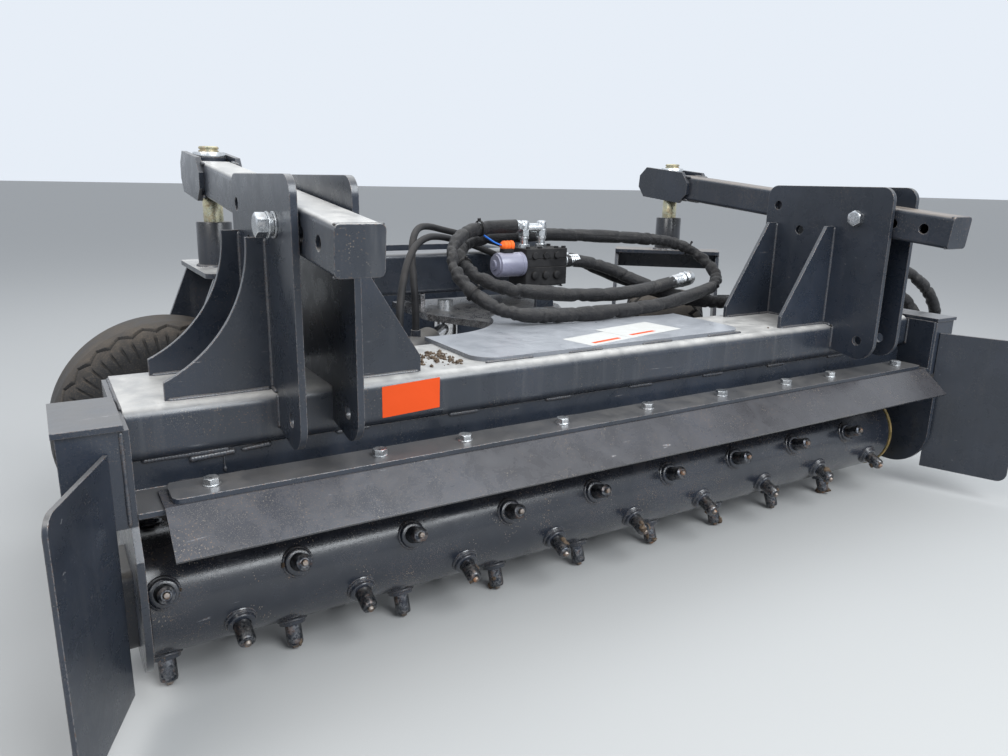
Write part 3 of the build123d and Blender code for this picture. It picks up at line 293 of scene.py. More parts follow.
class Net:
    """Adds nodes to one tree. Each call returns the output that the next ones take."""

    def __init__(self, tree):
        self.tree = tree

    def give(self, socket, value):
        if isinstance(value, bpy.types.NodeSocket):
            self.tree.links.new(value, socket)
        elif isinstance(value, (tuple, list)) and len(value) == 3 and socket.type == "RGBA":
            socket.default_value = (*value, 1.0)
        else:
            socket.default_value = value

    def node(self, kind, inputs=None, out=0, **settings):
        node = self.tree.nodes.new(kind)
        for key, value in settings.items():
            setattr(node, key, value)
        for key, value in (inputs or {}).items():
            self.give(node.inputs[key], value)
        return node.outputs[out]

    def give_all(self, sockets, values):
        for label, value in values.items():
            self.give(sockets[label], value)

    def upward(self):
        """How far the surface faces up: 1 on top, 0 on a wall."""
        return self.node("ShaderNodeSeparateXYZ", {0: self.node("ShaderNodeNewGeometry", out=1)}, out=2)

    def noise(self, where, scale, detail=4.0, rough=0.55, warp=0.0):
        return self.node("ShaderNodeTexNoise", {"Vector": where, "Scale": scale, "Detail": detail,
                                                "Roughness": rough, "Distortion": warp})

    def span(self, value, low, high, to_low=0.0, to_high=1.0):
        return self.node("ShaderNodeMapRange", {"Value": value, "From Min": low, "From Max": high,
                                                "To Min": to_low, "To Max": to_high},
                         interpolation_type="SMOOTHSTEP")

    def calc(self, operation, a, b=0.0, clamp=False):
        return self.node("ShaderNodeMath", {0: a, 1: b}, operation=operation, use_clamp=clamp)

    def times(self, a, b, clamp=False):
        return self.calc("MULTIPLY", a, b, clamp)

    def plus(self, a, b):
        return self.calc("ADD", a, b)

    def mix(self, share, a, b):
        return self.node("ShaderNodeMix", {0: share, 6: a, 7: b}, out=2, data_type="RGBA")

    def stretch(self, where, scale):
        return self.node("ShaderNodeVectorMath", {0: where, 1: scale}, operation="MULTIPLY")


SOCKETS = {float: "NodeSocketFloat", tuple: "NodeSocketColor", type(None): "NodeSocketVector"}


def group(name, inputs, outputs="Color Roughness Height"):
    """A shared shader group: each input is a number, a colour, or a vector where its value is None.
    Returns it with its net, its input node's outputs and its output node's inputs."""
    tree = bpy.data.node_groups.new(name, "ShaderNodeTree")
    for label, value in inputs.items():
        socket = tree.interface.new_socket(label, in_out="INPUT", socket_type=SOCKETS[type(value)])
        if value is not None:
            socket.default_value = (*value, 1.0) if isinstance(value, tuple) else value
    for label in outputs.split():
        kind = SOCKETS[tuple if label == "Color" else float]
        tree.interface.new_socket(label, in_out="OUTPUT", socket_type=kind)
    given, result = tree.nodes.new("NodeGroupInput").outputs, tree.nodes.new("NodeGroupOutput").inputs
    return tree, Net(tree), given, result


def make_paint():
    """Satin machine paint: mottling, dust that settles on what faces up, faint runs, rust specks,
    scratches and edges worn to steel."""
    tree, net, given, result = group("satin_paint", {
        "Where": None, "Paint": (0.05, 0.06, 0.07), "Dust Color": (0.33, 0.3, 0.26), "Dust": 0.5,
        "Wear": 0.4, "Edge": 0.0, "Specks": 0.2, "Gloss": 0.27}, "Color Roughness Height Metal")
    where = given["Where"]
    up = net.upward()
    broad = net.noise(where, 5.0, 5.0, 0.6)
    patches = net.noise(where, 23.0, 6.0, 0.62, 0.4)
    fine = net.noise(where, 260.0, 3.0, 0.6)
    grains = net.noise(where, 900.0, 2.0, 0.6)
    runs = net.noise(net.stretch(where, (38.0, 38.0, 2.4)), 1.0, 3.0, 0.6)
    paint = net.mix(net.span(patches, 0.35, 0.75, 0.0, 0.3), given["Paint"], (0.026, 0.032, 0.043))
    paint = net.mix(net.span(broad, 0.38, 0.7, 0.0, 0.35), paint, (0.025, 0.036, 0.058))
    flat = net.span(up, 0.35, 0.98)
    settle = net.times(flat, net.span(patches, 0.28, 0.72, 0.6, 1.0))
    haze = net.times(net.span(runs, 0.5, 0.8), 0.1)
    dust = net.plus(net.times(settle, 1.1), haze)
    dust = net.times(dust, given["Dust"], clamp=True)
    spots = net.node("ShaderNodeTexVoronoi", {"Vector": where, "Scale": 230.0, "Randomness": 1.0})
    spots = net.times(net.span(spots, 0.27, 0.12), net.span(net.noise(where, 17.0, 4.0, 0.6), 0.48, 0.62))
    spots = net.calc("MAXIMUM", spots, net.times(net.span(grains, 0.6, 0.68), net.span(broad, 0.4, 0.6)))
    spots = net.times(spots, given["Specks"], clamp=True)
    color = net.mix(dust, paint, given["Dust Color"])
    rust = net.mix(net.span(patches, 0.4, 0.6), (0.27, 0.23, 0.18), (0.22, 0.13, 0.065))
    color = net.mix(spots, color, rust)
    scratch = net.noise(net.stretch(where, (9.0, 90.0, 160.0)), 1.0, 2.0, 0.7, 1.2)
    scratch = net.times(net.span(scratch, 0.69, 0.73), net.span(patches, 0.5, 0.66))
    worn = net.times(given["Edge"], net.span(fine, 0.35, 0.62))
    worn = net.plus(worn, net.times(scratch, 0.6))
    worn = net.times(worn, given["Wear"], clamp=True)
    steel = net.mix(net.span(fine, 0.45, 0.65), (0.48, 0.48, 0.49), (0.22, 0.13, 0.08))
    color = net.mix(worn, color, steel)
    rough = net.plus(given["Gloss"], net.span(patches, 0.3, 0.7, -0.04, 0.09))
    rough = net.plus(rough, net.times(net.calc("MAXIMUM", dust, spots), 0.3))
    height = net.plus(net.times(fine, 0.5), net.times(patches, 0.6))
    height = net.plus(height, net.times(dust, net.times(grains, 1.2)))
    metal = net.times(worn, 0.6)
    net.give_all(result, {"Color": color, "Roughness": rough, "Height": height, "Metal": metal})
    return tree


def make_metal():
    """Plated or bare steel: blotchy, with spangle cells, dust on top and rust where the noise says."""
    tree, net, given, result = group("plated_steel", {
        "Where": None, "Tint": (0.6, 0.6, 0.58), "Second": (0.4, 0.4, 0.4), "Rust": 0.1, "Dust": 0.3,
        "Rough": 0.35}, "Color Roughness Height Metal")
    where = given["Where"]
    up = net.upward()
    blotch = net.noise(where, 42.0, 6.0, 0.65, 0.8)
    fine = net.noise(where, 480.0, 3.0, 0.6)
    spangle = net.node("ShaderNodeTexVoronoi", {"Vector": where, "Scale": 320.0}, out=1)
    shade = net.node("ShaderNodeSeparateXYZ", {0: spangle}, out=0)
    color = net.mix(net.span(blotch, 0.32, 0.68), given["Tint"], given["Second"])
    color = net.mix(net.times(shade, 0.18), color, (0.8, 0.8, 0.8))
    rust = net.times(net.span(net.noise(where, 75.0, 6.0, 0.7, 0.6), 0.5, 0.66), given["Rust"], clamp=True)
    rust_color = net.mix(net.span(fine, 0.35, 0.65), (0.2, 0.075, 0.025), (0.36, 0.17, 0.07))
    color = net.mix(rust, color, rust_color)
    dust = net.times(net.span(up, 0.3, 0.95), net.span(blotch, 0.35, 0.7))
    dust = net.times(dust, given["Dust"], clamp=True)
    color = net.mix(dust, color, (0.4, 0.36, 0.31))
    cover = net.calc("MAXIMUM", dust, rust)
    rough = net.plus(given["Rough"], net.times(cover, 0.4))
    rough = net.plus(rough, net.span(fine, 0.3, 0.7, -0.06, 0.08))
    height = net.plus(net.times(fine, 0.4), net.times(cover, 1.0))
    metal = net.calc("SUBTRACT", 1.0, cover, clamp=True)
    net.give_all(result, {"Color": color, "Roughness": rough, "Height": height, "Metal": metal})
    return tree


def make_rubber():
    """Rubber, plastic or soil: grey bloom in patches, dry soil on what faces up, and painted shade in the
    grooves of a tread.
    """
    tree, net, given, result = group("dusty_rubber", {
        "Where": None, "Rubber": (0.03, 0.03, 0.032), "Soil": (0.2, 0.155, 0.11), "Dust": 0.5,
        "Grain": 400.0, "Bloom": 0.3, "Painted Groove Shade": 0.0})
    where = given["Where"]
    up = net.upward()
    patches = net.noise(where, 28.0, 6.0, 0.65, 0.5)
    fine = net.noise(where, given["Grain"], 3.0, 0.6)
    bloom = net.times(net.span(patches, 0.3, 0.7), given["Bloom"])
    color = net.mix(bloom, given["Rubber"], (0.045, 0.045, 0.047))
    dust = net.plus(net.span(up, 0.1, 0.9, 0.15, 0.8), net.span(fine, 0.45, 0.7, -0.2, 0.3))
    dust = net.times(dust, net.span(patches, 0.3, 0.65, 0.4, 1.0))
    dust = net.times(dust, given["Dust"], clamp=True)
    color = net.mix(dust, color, given["Soil"])
    # painted shade: the grooves of a tread are darkened towards black by their depth
    color = net.mix(net.times(given["Painted Groove Shade"], 0.85), color, (0.005, 0.005, 0.005))
    rough = net.plus(net.span(patches, 0.3, 0.7, 0.5, 0.66), net.times(dust, 0.25))
    height = net.plus(net.times(fine, 0.8), net.times(patches, 0.5))
    net.give_all(result, {"Color": color, "Roughness": rough, "Height": height})
    return tree


def make_weave():
    """Woven sleeve: threads along and round the hose, by the piece's own flow values, with folds greyed by
    dust. A thread is 2.2 mm long, and 46 of them lie round the hose."""
    tree, net, given, result = group("woven_sleeve", {
        "Where": None, "Flow": None, "Cloth": (0.01, 0.01, 0.0115), "Dust": 0.4})
    where, flow = given["Where"], given["Flow"]
    parts = net.tree.nodes.new("ShaderNodeSeparateXYZ")
    net.give(parts.inputs[0], flow)
    along = net.calc("SINE", net.times(parts.outputs[0], 2 * math.pi / 0.0022))
    across = net.calc("SINE", net.times(parts.outputs[1], 2 * math.pi * 46.0))
    thread = net.span(net.times(along, across), -0.9, 0.9)
    up = net.upward()
    patches = net.noise(where, 34.0, 6.0, 0.65, 0.4)
    folds = net.noise(net.stretch(flow, (52.0, 7.0, 1.0)), 1.0, 4.0, 0.6, 1.6)
    color = net.mix(net.times(thread, 0.45), given["Cloth"], (0.022, 0.022, 0.024))
    dust = net.times(net.span(up, -0.1, 0.95), net.span(patches, 0.3, 0.7, 0.3, 1.0))
    dust = net.plus(dust, net.span(folds, 0.52, 0.68, 0.0, 0.5))
    dust = net.times(dust, given["Dust"], clamp=True)
    color = net.mix(dust, color, (0.24, 0.22, 0.195))
    rough = net.plus(net.span(patches, 0.3, 0.7, 0.4, 0.54), net.times(dust, 0.25))
    height = net.plus(net.times(thread, 0.25), net.times(folds, 3.0))
    net.give_all(result, {"Color": color, "Roughness": rough, "Height": height})
    return tree


GROUPS = {"paint": make_paint(), "metal": make_metal(), "rubber": make_rubber(), "weave": make_weave()}


def material(name, kind, values, bump=0.3, distance=0.0006, rounding=0.0, coat=0.0, sheen=0.0,
             carved=False):
    """A material with its own Principled shader, fed by one of the shared groups. rounding softens its
    edges by the Bevel node, and on paint also says where they are worn. The groove flag darkens the
    grooves of a tread with painted shade, more where they are deeper."""
    made = bpy.data.materials.new(name)
    made.use_nodes = True
    add = made.node_tree.nodes.new
    net = Net(made.node_tree)
    made.node_tree.nodes.clear()
    look = add("ShaderNodeGroup")
    look.node_tree = GROUPS[kind]
    net.give_all(look.inputs, {"Where": net.node("ShaderNodeTexCoord", out=3), **values})
    shader = add("ShaderNodeBsdfPrincipled")
    for label, source in (("Base Color", "Color"), ("Roughness", "Roughness"), ("Metallic", "Metal")):
        if source in look.outputs:
            net.give(shader.inputs[label], look.outputs[source])
    swell = add("ShaderNodeBump")
    net.give_all(swell.inputs, {"Strength": bump, "Distance": distance, "Height": look.outputs["Height"]})
    if rounding:
        round_off = net.node("ShaderNodeBevel", {"Radius": rounding}, samples=4)
        net.give(swell.inputs["Normal"], round_off)
        if kind == "paint":
            normal = net.node("ShaderNodeNewGeometry", out=1)
            meet = net.node("ShaderNodeVectorMath", {0: round_off, 1: normal}, out=1,
                            operation="DOT_PRODUCT")
            net.give(look.inputs["Edge"], net.span(meet, 0.995, 0.86))
    net.give(shader.inputs["Normal"], swell.outputs[0])
    net.give_all(shader.inputs, {
        "Specular IOR Level": 0.2 if kind in ("rubber", "weave") else 0.5, "Coat Weight": coat,
        "Coat Roughness": 0.25, "Sheen Weight": sheen, "Sheen Roughness": 0.5})
    # on a tread, the groove depth in the flow attribute drives the painted shade in its grooves
    if carved or kind == "weave":
        flow = net.node("ShaderNodeAttribute", out=1, attribute_name="flow")
        if carved:
            net.give(look.inputs["Painted Groove Shade"], net.node("ShaderNodeSeparateXYZ", {0: flow}))
        else:
            net.give(look.inputs["Flow"], flow)
    net.give(add("ShaderNodeOutputMaterial").inputs["Surface"], shader.outputs[0])
    return made


def painted(name, paint, dust, wear, specks=0.2, gloss=0.27, settled=(0.33, 0.3, 0.26), edge=0.0,
            **finish):
    """Paint of a colour, with its share of dust, wear and rust specks, and the colour of its dust."""
    values = {"Paint": paint, "Dust": dust, "Wear": wear, "Specks": specks, "Gloss": gloss,
              "Dust Color": settled, "Edge": edge}
    return material(name, "paint", values, **finish)


def plated(name, tint, second, rust, dust, rough, **finish):
    """Steel of two tints, with its share of rust and dust."""
    values = {"Tint": tint, "Second": second, "Rust": rust, "Dust": dust, "Rough": rough}
    return material(name, "metal", values, **finish)


def rubbery(name, rubber, dust, grain=400.0, soil=(0.2, 0.155, 0.11), bloom=0.3, **finish):
    """Rubber or plastic of a colour, with its share of dust and the colour of its soil."""
    values = {"Rubber": rubber, "Dust": dust, "Grain": grain, "Soil": soil, "Bloom": bloom}
    return material(name, "rubber", values, **finish)


PAINT = (0.0145, 0.0185, 0.0265)
MAT = {
    "paint": painted("charcoal_paint", PAINT, 0.22, 0.85, rounding=0.002, coat=0.2),
    "deck": painted("charcoal_paint_dusty", PAINT, 0.85, 0.7, 0.4, settled=(0.47, 0.455, 0.43),
                    rounding=0.0022, coat=0.3),
    "fork": painted("fork_paint", PAINT, 0.6, 0.85, 0.45, settled=(0.27, 0.22, 0.175), rounding=0.002,
                    coat=0.15),
    # painted reflection: the cover plate's light blue-grey paint stands for the sky it reflects, and its
    # bluish-grey dust colour is partly real dust, partly that reflection
    "cover": painted("cover_plate_painted_sky_reflection", (0.17, 0.18, 0.2), 0.55, 0.6, 0.15, 0.2, (0.42, 0.43, 0.45),
                     bump=0.12, rounding=0.0015, coat=0.5),
    "roller": painted("roller_paint", (0.0075, 0.011, 0.0195), 0.14, 0.6, 0.75, 0.2, (0.22, 0.18, 0.14),
                      bump=0.45, rounding=0.0015, coat=0.6),
    "weld": painted("weld_paint", (0.024, 0.028, 0.035), 0.2, 0.45, 0.35, 0.24, edge=0.3, bump=0.5,
                    coat=0.2),
    "flap": painted("flap_steel", (0.0165, 0.0165, 0.0205), 0.2, 0.6, 0.55, 0.22, (0.13, 0.115, 0.105),
                    coat=0.5, rounding=0.001),
    "black": painted("black_paint", (0.012, 0.012, 0.013), 0.35, 0.4, rounding=0.0012),
    "lilac": painted("solenoid_can", (0.2, 0.2, 0.27), 0.25, 0.3, settled=(0.5, 0.48, 0.5),
                     rounding=0.001),
    "swivel": plated("worn_swivel_steel", (0.34, 0.34, 0.35), (0.1, 0.1, 0.105), 0.12, 0.3, 0.26,
                     rounding=0.0015),
    "zinc": plated("bright_zinc", (0.66, 0.68, 0.69), (0.5, 0.52, 0.54), 0.15, 0.3, 0.26, rounding=0.0006),
    "yellow_zinc": plated("yellow_zinc", (0.5, 0.44, 0.26), (0.36, 0.36, 0.25), 0.4, 0.2, 0.28,
                          rounding=0.0006),
    "chrome": plated("rod_chrome", (0.62, 0.62, 0.63), (0.55, 0.55, 0.56), 0.05, 0.2, 0.14),
    "stud": plated("stud_steel", (0.045, 0.052, 0.066), (0.02, 0.023, 0.03), 0.25, 0.25, 0.3),
    "tip": plated("rusty_tip", (0.22, 0.18, 0.15), (0.12, 0.09, 0.07), 0.95, 0.6, 0.45),
    "ring": plated("dull_yellow_ring", (0.5, 0.36, 0.09), (0.3, 0.22, 0.07), 0.5, 0.3, 0.42),
    "rim": plated("silver_rim", (0.55, 0.55, 0.53), (0.45, 0.45, 0.43), 0.3, 0.6, 0.42, rounding=0.001),
    # the tyre gets painted shade in its grooves
    "tyre": rubbery("tyre_rubber", (0.016, 0.016, 0.017), 0.42, bump=0.4, carved=True),
    "hose": rubbery("black_hose", (0.009, 0.009, 0.01), 0.1, 700.0, bump=0.25),
    "plastic": rubbery("black_plastic", (0.009, 0.009, 0.01), 0.1, 900.0, bump=0.15),
    "orange": rubbery("orange_plastic", (0.8, 0.13, 0.02), 0.15, 900.0, (0.5, 0.2, 0.08), 0.0, bump=0.1),
    "tag": rubbery("orange_tag", (0.66, 0.07, 0.01), 0.1, 1200.0, (0.55, 0.09, 0.02), 0.0, bump=0.08),
    "label": rubbery("pale_label", (0.52, 0.52, 0.505), 0.45, 1200.0, (0.36, 0.34, 0.3), 0.0, bump=0.08),
    "blue": rubbery("blue_wire", (0.03, 0.16, 0.6), 0.1, 900.0, bloom=0.0, bump=0.1),
    "soil": rubbery("dry_soil", (0.075, 0.052, 0.036), 0.9, 260.0, (0.17, 0.125, 0.085), 0.0, bump=1.0,
                    distance=0.002),
    "sleeve": material("hose_sleeve", "weave", {"Dust": 0.12}, bump=0.7, distance=0.0016, sheen=0.05),
}

NODE_LOOK = {
    "deck": "beam fork_left arm_left",
    "fork": "fork_right arm_right",
    "cover": "cover_plate",
    "swivel": "swivel_plate",
    "black": "motor bearing barrel valve_block",
    "chrome": "rod",
    "ring": "end_ring",
    "zinc": "kingpin cylinder_pin fittings pivot_bolt_left pivot_bolt_right axle_bolt_left"
            " axle_bolt_right",
    "yellow_zinc": "spindle_left spindle_right",
    "flap": "flap",
    "roller": "drum",
    "tyre": "tyre_left tyre_right",
    "rim": "rim_left rim_right",
    "lilac": "solenoid",
    "orange": "plug",
    "sleeve": "hose_motor_front hose_motor_back hose_feed",
    "hose": "hose_cylinder_base hose_cylinder_rod",
}
look_of = {node: look for look, members in NODE_LOOK.items() for node in members.split()}
for name, obj in nodes.items():
    obj.data.materials.clear()
    obj.data.materials.append(MAT[look_of.get(name, "paint")])

# Roller

axle = at(0, AXLE_BACK, AXLE_Z)
seats = []
for row in range(STUD_ROWS):
    lean = math.radians((row + 0.5) * 360.0 / STUD_ROWS)
    out = np.array([0.0, -math.cos(lean), math.sin(lean)])
    for count in range(STUDS_IN_ROW):
        x = DRUM_LEFT + ROW_START + (row % 2) * ROW_SHIFT + count * STUD_PITCH
        seats.append((np.array([x / 1000, axle[1], axle[2]]), out))

roller = Form()
lathe(roller, [(SHAFT_R, -925.0), (SHAFT_R, DRUM_LEFT), (84.0, DRUM_LEFT), (95.0, DRUM_LEFT),
               (DRUM_R, DRUM_LEFT + 2), (DRUM_R, -300.0), (DRUM_R, 300.0), (DRUM_R, DRUM_RIGHT - 2),
               (95.0, DRUM_RIGHT), (84.0, DRUM_RIGHT), (SHAFT_R, DRUM_RIGHT), (SHAFT_R, 907.0)],
      axle, RIGHT, 96)
for centre, out in seats:
    lathe(roller, [(25.0, 94.6), (23.6, 97.0), (22.0, 98.8), (21.0, 100.4), (21.0, 104.0), (20.2, 105.4),
                   (18.8, 106.0), (14.0, 106.2)], centre, out, 24)
    lathe(roller, [(13.4, 104.0), (13.2, 108.0), (13.2, 134.5), (11.9, 138.2), (8.0, 140.0), (7.4, 139.4),
                   (5.4, 139.4)], centre, out, 24, slot=1)
    lathe(roller, [(5.4, 139.0), (5.0, 142.8), (3.8, 144.2), (0.001, 144.5)], centre, out, 16, slot=2)
piece("roller_body", roller, "roller stud tip", "roller", ["drum"])

collar_welds = Form()
COLLAR_FOOT = 0.0975
for centre, out in seats:
    ring_bead(collar_welds, centre + out * COLLAR_FOOT, out, 22.0, 2.4)
piece("collar_welds", collar_welds, "roller", "roller")


def lump(form, centre, size, seed):
    """Clod: a sphere whose radius is size (1 + 0.14 of each of four seeded waves over its surface),
    squeezed along its axes."""
    rng = np.random.default_rng(seed)
    rows, cols = 9, 14
    t = np.linspace(0.02, np.pi - 0.02, rows)[:, None]
    p = angles(cols)[None]
    d = np.stack(np.broadcast_arrays(np.sin(t) * np.cos(p), np.sin(t) * np.sin(p), np.cos(t)), -1)
    swell = np.ones(d.shape[:2])
    for _ in range(4):
        swell += 0.14 * np.sin(d @ rng.normal(0, 3.4, 3) + rng.uniform(0, 6.3))
    squeeze = rng.uniform(0.7, 1.1, 3)
    points = centre + d * swell[..., None] * squeeze * size / 1000
    form.add(points, grid_faces(rows, cols, close_cols=True))


clods = Form()
rng = np.random.default_rng(11)
for centre, out in seats:
    if out[2] < -0.3 and rng.random() < 0.7:
        for k in range(rng.integers(2, 6)):
            side = rng.normal(0, 1, 3)
            side -= (side @ out) * out
            side /= np.linalg.norm(side)
            spot = centre + out * rng.uniform(118, 139) / 1000 + side * rng.uniform(8, 13) / 1000
            lump(clods, spot, rng.uniform(3, 9), int(rng.integers(1e6)))
    elif rng.random() < 0.3:
        side = np.array([rng.choice([-1.0, 1.0]), 0, 0])
        lump(clods, centre + out * 0.099 + side * 0.022, rng.uniform(2, 4), int(rng.integers(1e6)))
# no clod stands out of the circle that the stud tips sweep, or below the floor
CLOD_REACH, CLOD_LOW = 0.1435, 0.0006
for points in clods.points:
    reach = np.hypot(points[:, 1] - axle[1], points[:, 2] - axle[2])
    points[:, 1:] = axle[1:] + (points[:, 1:] - axle[1:]) * np.minimum(1, CLOD_REACH / reach)[:, None]
    points[:, 2] = np.maximum(points[:, 2], CLOD_LOW)
piece("soil_clods", clods, "soil", "roller", angle=60)

# Wheels and spindles


def smooth_loop(points, times):
    """Corner cutting: each side of the closed line gives its points at a quarter and three quarters."""
    line = np.array(points, float)
    for _ in range(times):
        after = np.roll(line, -1, 0)
        line = np.stack([line * 0.75 + after * 0.25, line * 0.25 + after * 0.75], 1).reshape(-1, 2)
    return line


def resample(line, count, fine_from, share):
    """Points along a closed line, share times closer together where its first coordinate is above
    fine_from."""
    closed = np.vstack([line, line[:1]])
    steps = np.linalg.norm(np.diff(closed, axis=0), axis=1)
    steps *= np.where((closed[1:, 0] + closed[:-1, 0]) / 2 > fine_from, share, 1.0)
    s = np.concatenate([[0], np.cumsum(steps)])
    t = np.linspace(0, s[-1], count, endpoint=False)
    return np.stack([np.interp(t, s, closed[:, 0]), np.interp(t, s, closed[:, 1])], 1)


TYRE_SECTION = [(103, -70), (103, -84), (112, -96), (140, -107), (170, -107.5), (200, -104), (221, -86),
                (230, -40), (231, 0), (230, 40), (221, 86), (200, 104), (170, 107.5), (140, 107),
                (112, 96), (103, 84), (103, 70), (120, 62), (190, 70), (205, 0), (190, -70), (120, -62)]
TREAD_WAVES, ZIGZAG, GROOVE_DEPTH = 30, 15.0, 6.0


def tyre_mesh(form, middle, axle_dir):
    """Tyre: section(v) turned by angle t. Near each edge of the tread the radius drops by 6 mm in a
    zigzag groove, whose offset is 76 mm plus 15 mm times a triangle wave of 30 turns, by 0.55 of that in a
    slit at each turn of the wave, and by 0.8 of that in slits over the shoulder. The crown is smooth."""
    turns, count = 600, 160
    section = resample(smooth_loop(TYRE_SECTION, 3), count, 180, 5.0)
    t = angles(turns)[:, None]
    r = np.broadcast_to(section[None, :, 0], (turns, count)).copy()
    o = np.broadcast_to(section[None, :, 1], (turns, count))
    phase = (t * TREAD_WAVES / (2 * np.pi)) % 1
    zig = 2 * np.abs(phase - 0.5) - 0.5
    slit = np.abs(phase - 0.5) / TREAD_WAVES * 2 * np.pi * 225
    drop = np.zeros_like(r)
    for edge in (-1, 1):
        gap = np.abs(o - edge * 76 - ZIGZAG * zig)
        drop = np.maximum(drop, np.clip((4.4 - gap) / 1.6, 0, 1))
        on_rib = np.abs(o - edge * 61 - ZIGZAG * zig) < 13
        drop = np.maximum(drop, np.clip((1.8 - slit) / 1.2, 0, 1) * 0.55 * on_rib)
    lug_phase = (t * 2 * TREAD_WAVES / (2 * np.pi) + 0.25) % 1
    lug = np.abs(lug_phase - 0.5) / (2 * TREAD_WAVES) * 2 * np.pi * 200
    on_shoulder = (np.abs(o) > 94) * (r < 214)
    drop = np.maximum(drop, np.clip((2.6 - lug) / 1.4, 0, 1) * on_shoulder * 0.8)
    tread = np.clip((r - 178) / 6, 0, 1)
    near_edge = np.abs(o) + np.maximum(0, r - 200) > 88
    drop = drop * tread * near_edge
    r = np.minimum(r - GROOVE_DEPTH * drop, TYRE_R)
    u, v, w = basis(axle_dir)
    ring = np.cos(t)[..., None] * u + np.sin(t)[..., None] * v
    points = middle + (r[..., None] * ring + o[..., None] * w) / 1000
    # the groove depth goes to the flow attribute, where the tyre's material turns it into painted shade
    form.add(points, grid_faces(turns, count, True, True), flow=np.stack([drop, 0 * drop, 0 * drop], -1))


for side, way in SIDES.items():
    heading = math.radians(HEADING[side])
    trail = np.array([math.cos(heading), math.sin(heading), 0.0])
    across = np.array([-math.sin(heading), math.cos(heading), 0.0])
    foot = at(way * BRACKET_X, CASTER_BACK, 0)
    middle = raised(foot + trail * TRAIL / 1000, TYRE_R)
    tread = Form()
    tyre_mesh(tread, middle, across)
    piece(f"tyre_tread_{side}", tread, "tyre", f"wheel_{side}", [f"tyre_{side}"], merge=False)

    bolt = Form()
    lathe(bolt, [(0.001, -150), (12, -150), (12, 150), (0.001, 150)], middle, across, 24)
    for end in (-1, 1):
        tip = middle + across * end * 0.15
        lathe(bolt, [(12, 0), (22, 0), (22, 2.4), (12, 2.4)], tip, across * end, 32)
        hex_head(bolt, tip + across * end * 0.0024, across * end, 29, 10.4)
    piece(f"axle_hardware_{side}", bolt, "zinc", f"caster_{side}", [f"axle_bolt_{side}"])

    # a dark socket welded to the fork, and a plated pin that passes through the arm's boss
    stem = Form()
    base = raised(foot, FORK_TOP)
    lathe(stem, [(20, 0), (36, 0), (36, 90), (34.5, 92.4), (30, 93), (20, 93)], base, UP, 48)
    lathe(stem, [(20, 93), (20, 152), (19.4, 153), (19.4, 222.3)], base, UP, 40, slot=1)
    lathe(stem, [(20.2, 222.3), (31, 222.3), (32, 223.4), (32, 231), (31, 232.3), (20.2, 232.3)], base,
          UP, 48, slot=2)
    lathe(stem, [(20, 230), (20, 236), (17.6, 236.4), (17.6, 238.6), (20, 239), (20, 242), (18, 244),
                 (0.001, 244)], base, UP, 40, slot=1)
    ring_bead(stem, base, UP, 36, 4.6, slot=3)
    piece(f"spindle_detail_{side}", stem, "black yellow_zinc zinc weld", f"caster_{side}",
          [f"spindle_{side}"])

# Bolts

hardware = Form()
for x in (-799, -549, -398, -200, 0, 200, 398, 549, 799):
    spot = at(x, -43.5, STRIP_TOP)
    lathe(hardware, [(6, 0), (12.6, 0), (12.6, 1.6), (12, 2.0), (6, 2.0)], spot, UP, 32)
    hex_head(hardware, raised(spot, 2), UP, 21, 9.0, turn=0.37 * x)
piece("strip_bolts", hardware, "zinc", "root", ())

arm_turn = math.radians(ARM_TILT)
arm_dir = np.array([0, math.cos(arm_turn), math.sin(arm_turn)])
arm_up = np.array([0, -math.sin(arm_turn), math.cos(arm_turn)])
for side, way in SIDES.items():
    pivot = at(way * BRACKET_X, PIVOT_BACK, PIVOT_Z)
    bolt = Form()
    lathe(bolt, [(10, -60), (10, 60)], pivot, (way, 0, 0), 24)
    # the head is on the left side of both brackets, and on the left one it stands off by washers and a
    # spring ring
    left = np.array([-1.0, 0, 0])
    head, nut = pivot + left * EAR_OUTSIDE / 1000, pivot - left * EAR_OUTSIDE / 1000
    lift = 0.0
    for width, thick in ((18.5, 3.0), (15.5, 4.6), (18.5, 3.0)) if side == "left" else ():
        lathe(bolt, [(10, 0), (width - 0.6, 0), (width, 0.5), (width, thick - 0.5), (width - 0.6, thick),
                     (10, thick)], head + left * lift, left, 36)
        lift += (thick + 0.3) / 1000
    hex_head(bolt, head + left * lift, left, 30, 15.5)
    lathe(bolt, [(10, 0), (18.5, 0), (18.5, 2.6), (18, 3), (10, 3)], nut, -left, 36)
    hex_head(bolt, nut - left * 0.003, -left, 29, 12.8)
    piece(f"pivot_hardware_{side}", bolt, "zinc", "root", [f"pivot_bolt_{side}"])

king = Form()
king_foot = at(0, KINGPIN_BACK, COVER_TOP)
lathe(king, [(0.001, -51), (38, -51), (38, -41), (25, -41), (25, 0)], king_foot, UP, 40)
lathe(king, [(25, 0), (43, 0), (43, 2.6), (42, 3.2), (25, 3.2)], king_foot, UP, 48)
hex_head(king, raised(king_foot, 3.2), UP, 60, 14)
lathe(king, [(24, 15), (24, 19.2), (22.5, 20), (0.001, 20)], king_foot, UP, 40)
piece("kingpin_detail", king, "zinc", "root", ["kingpin"])

# Welds and dirt

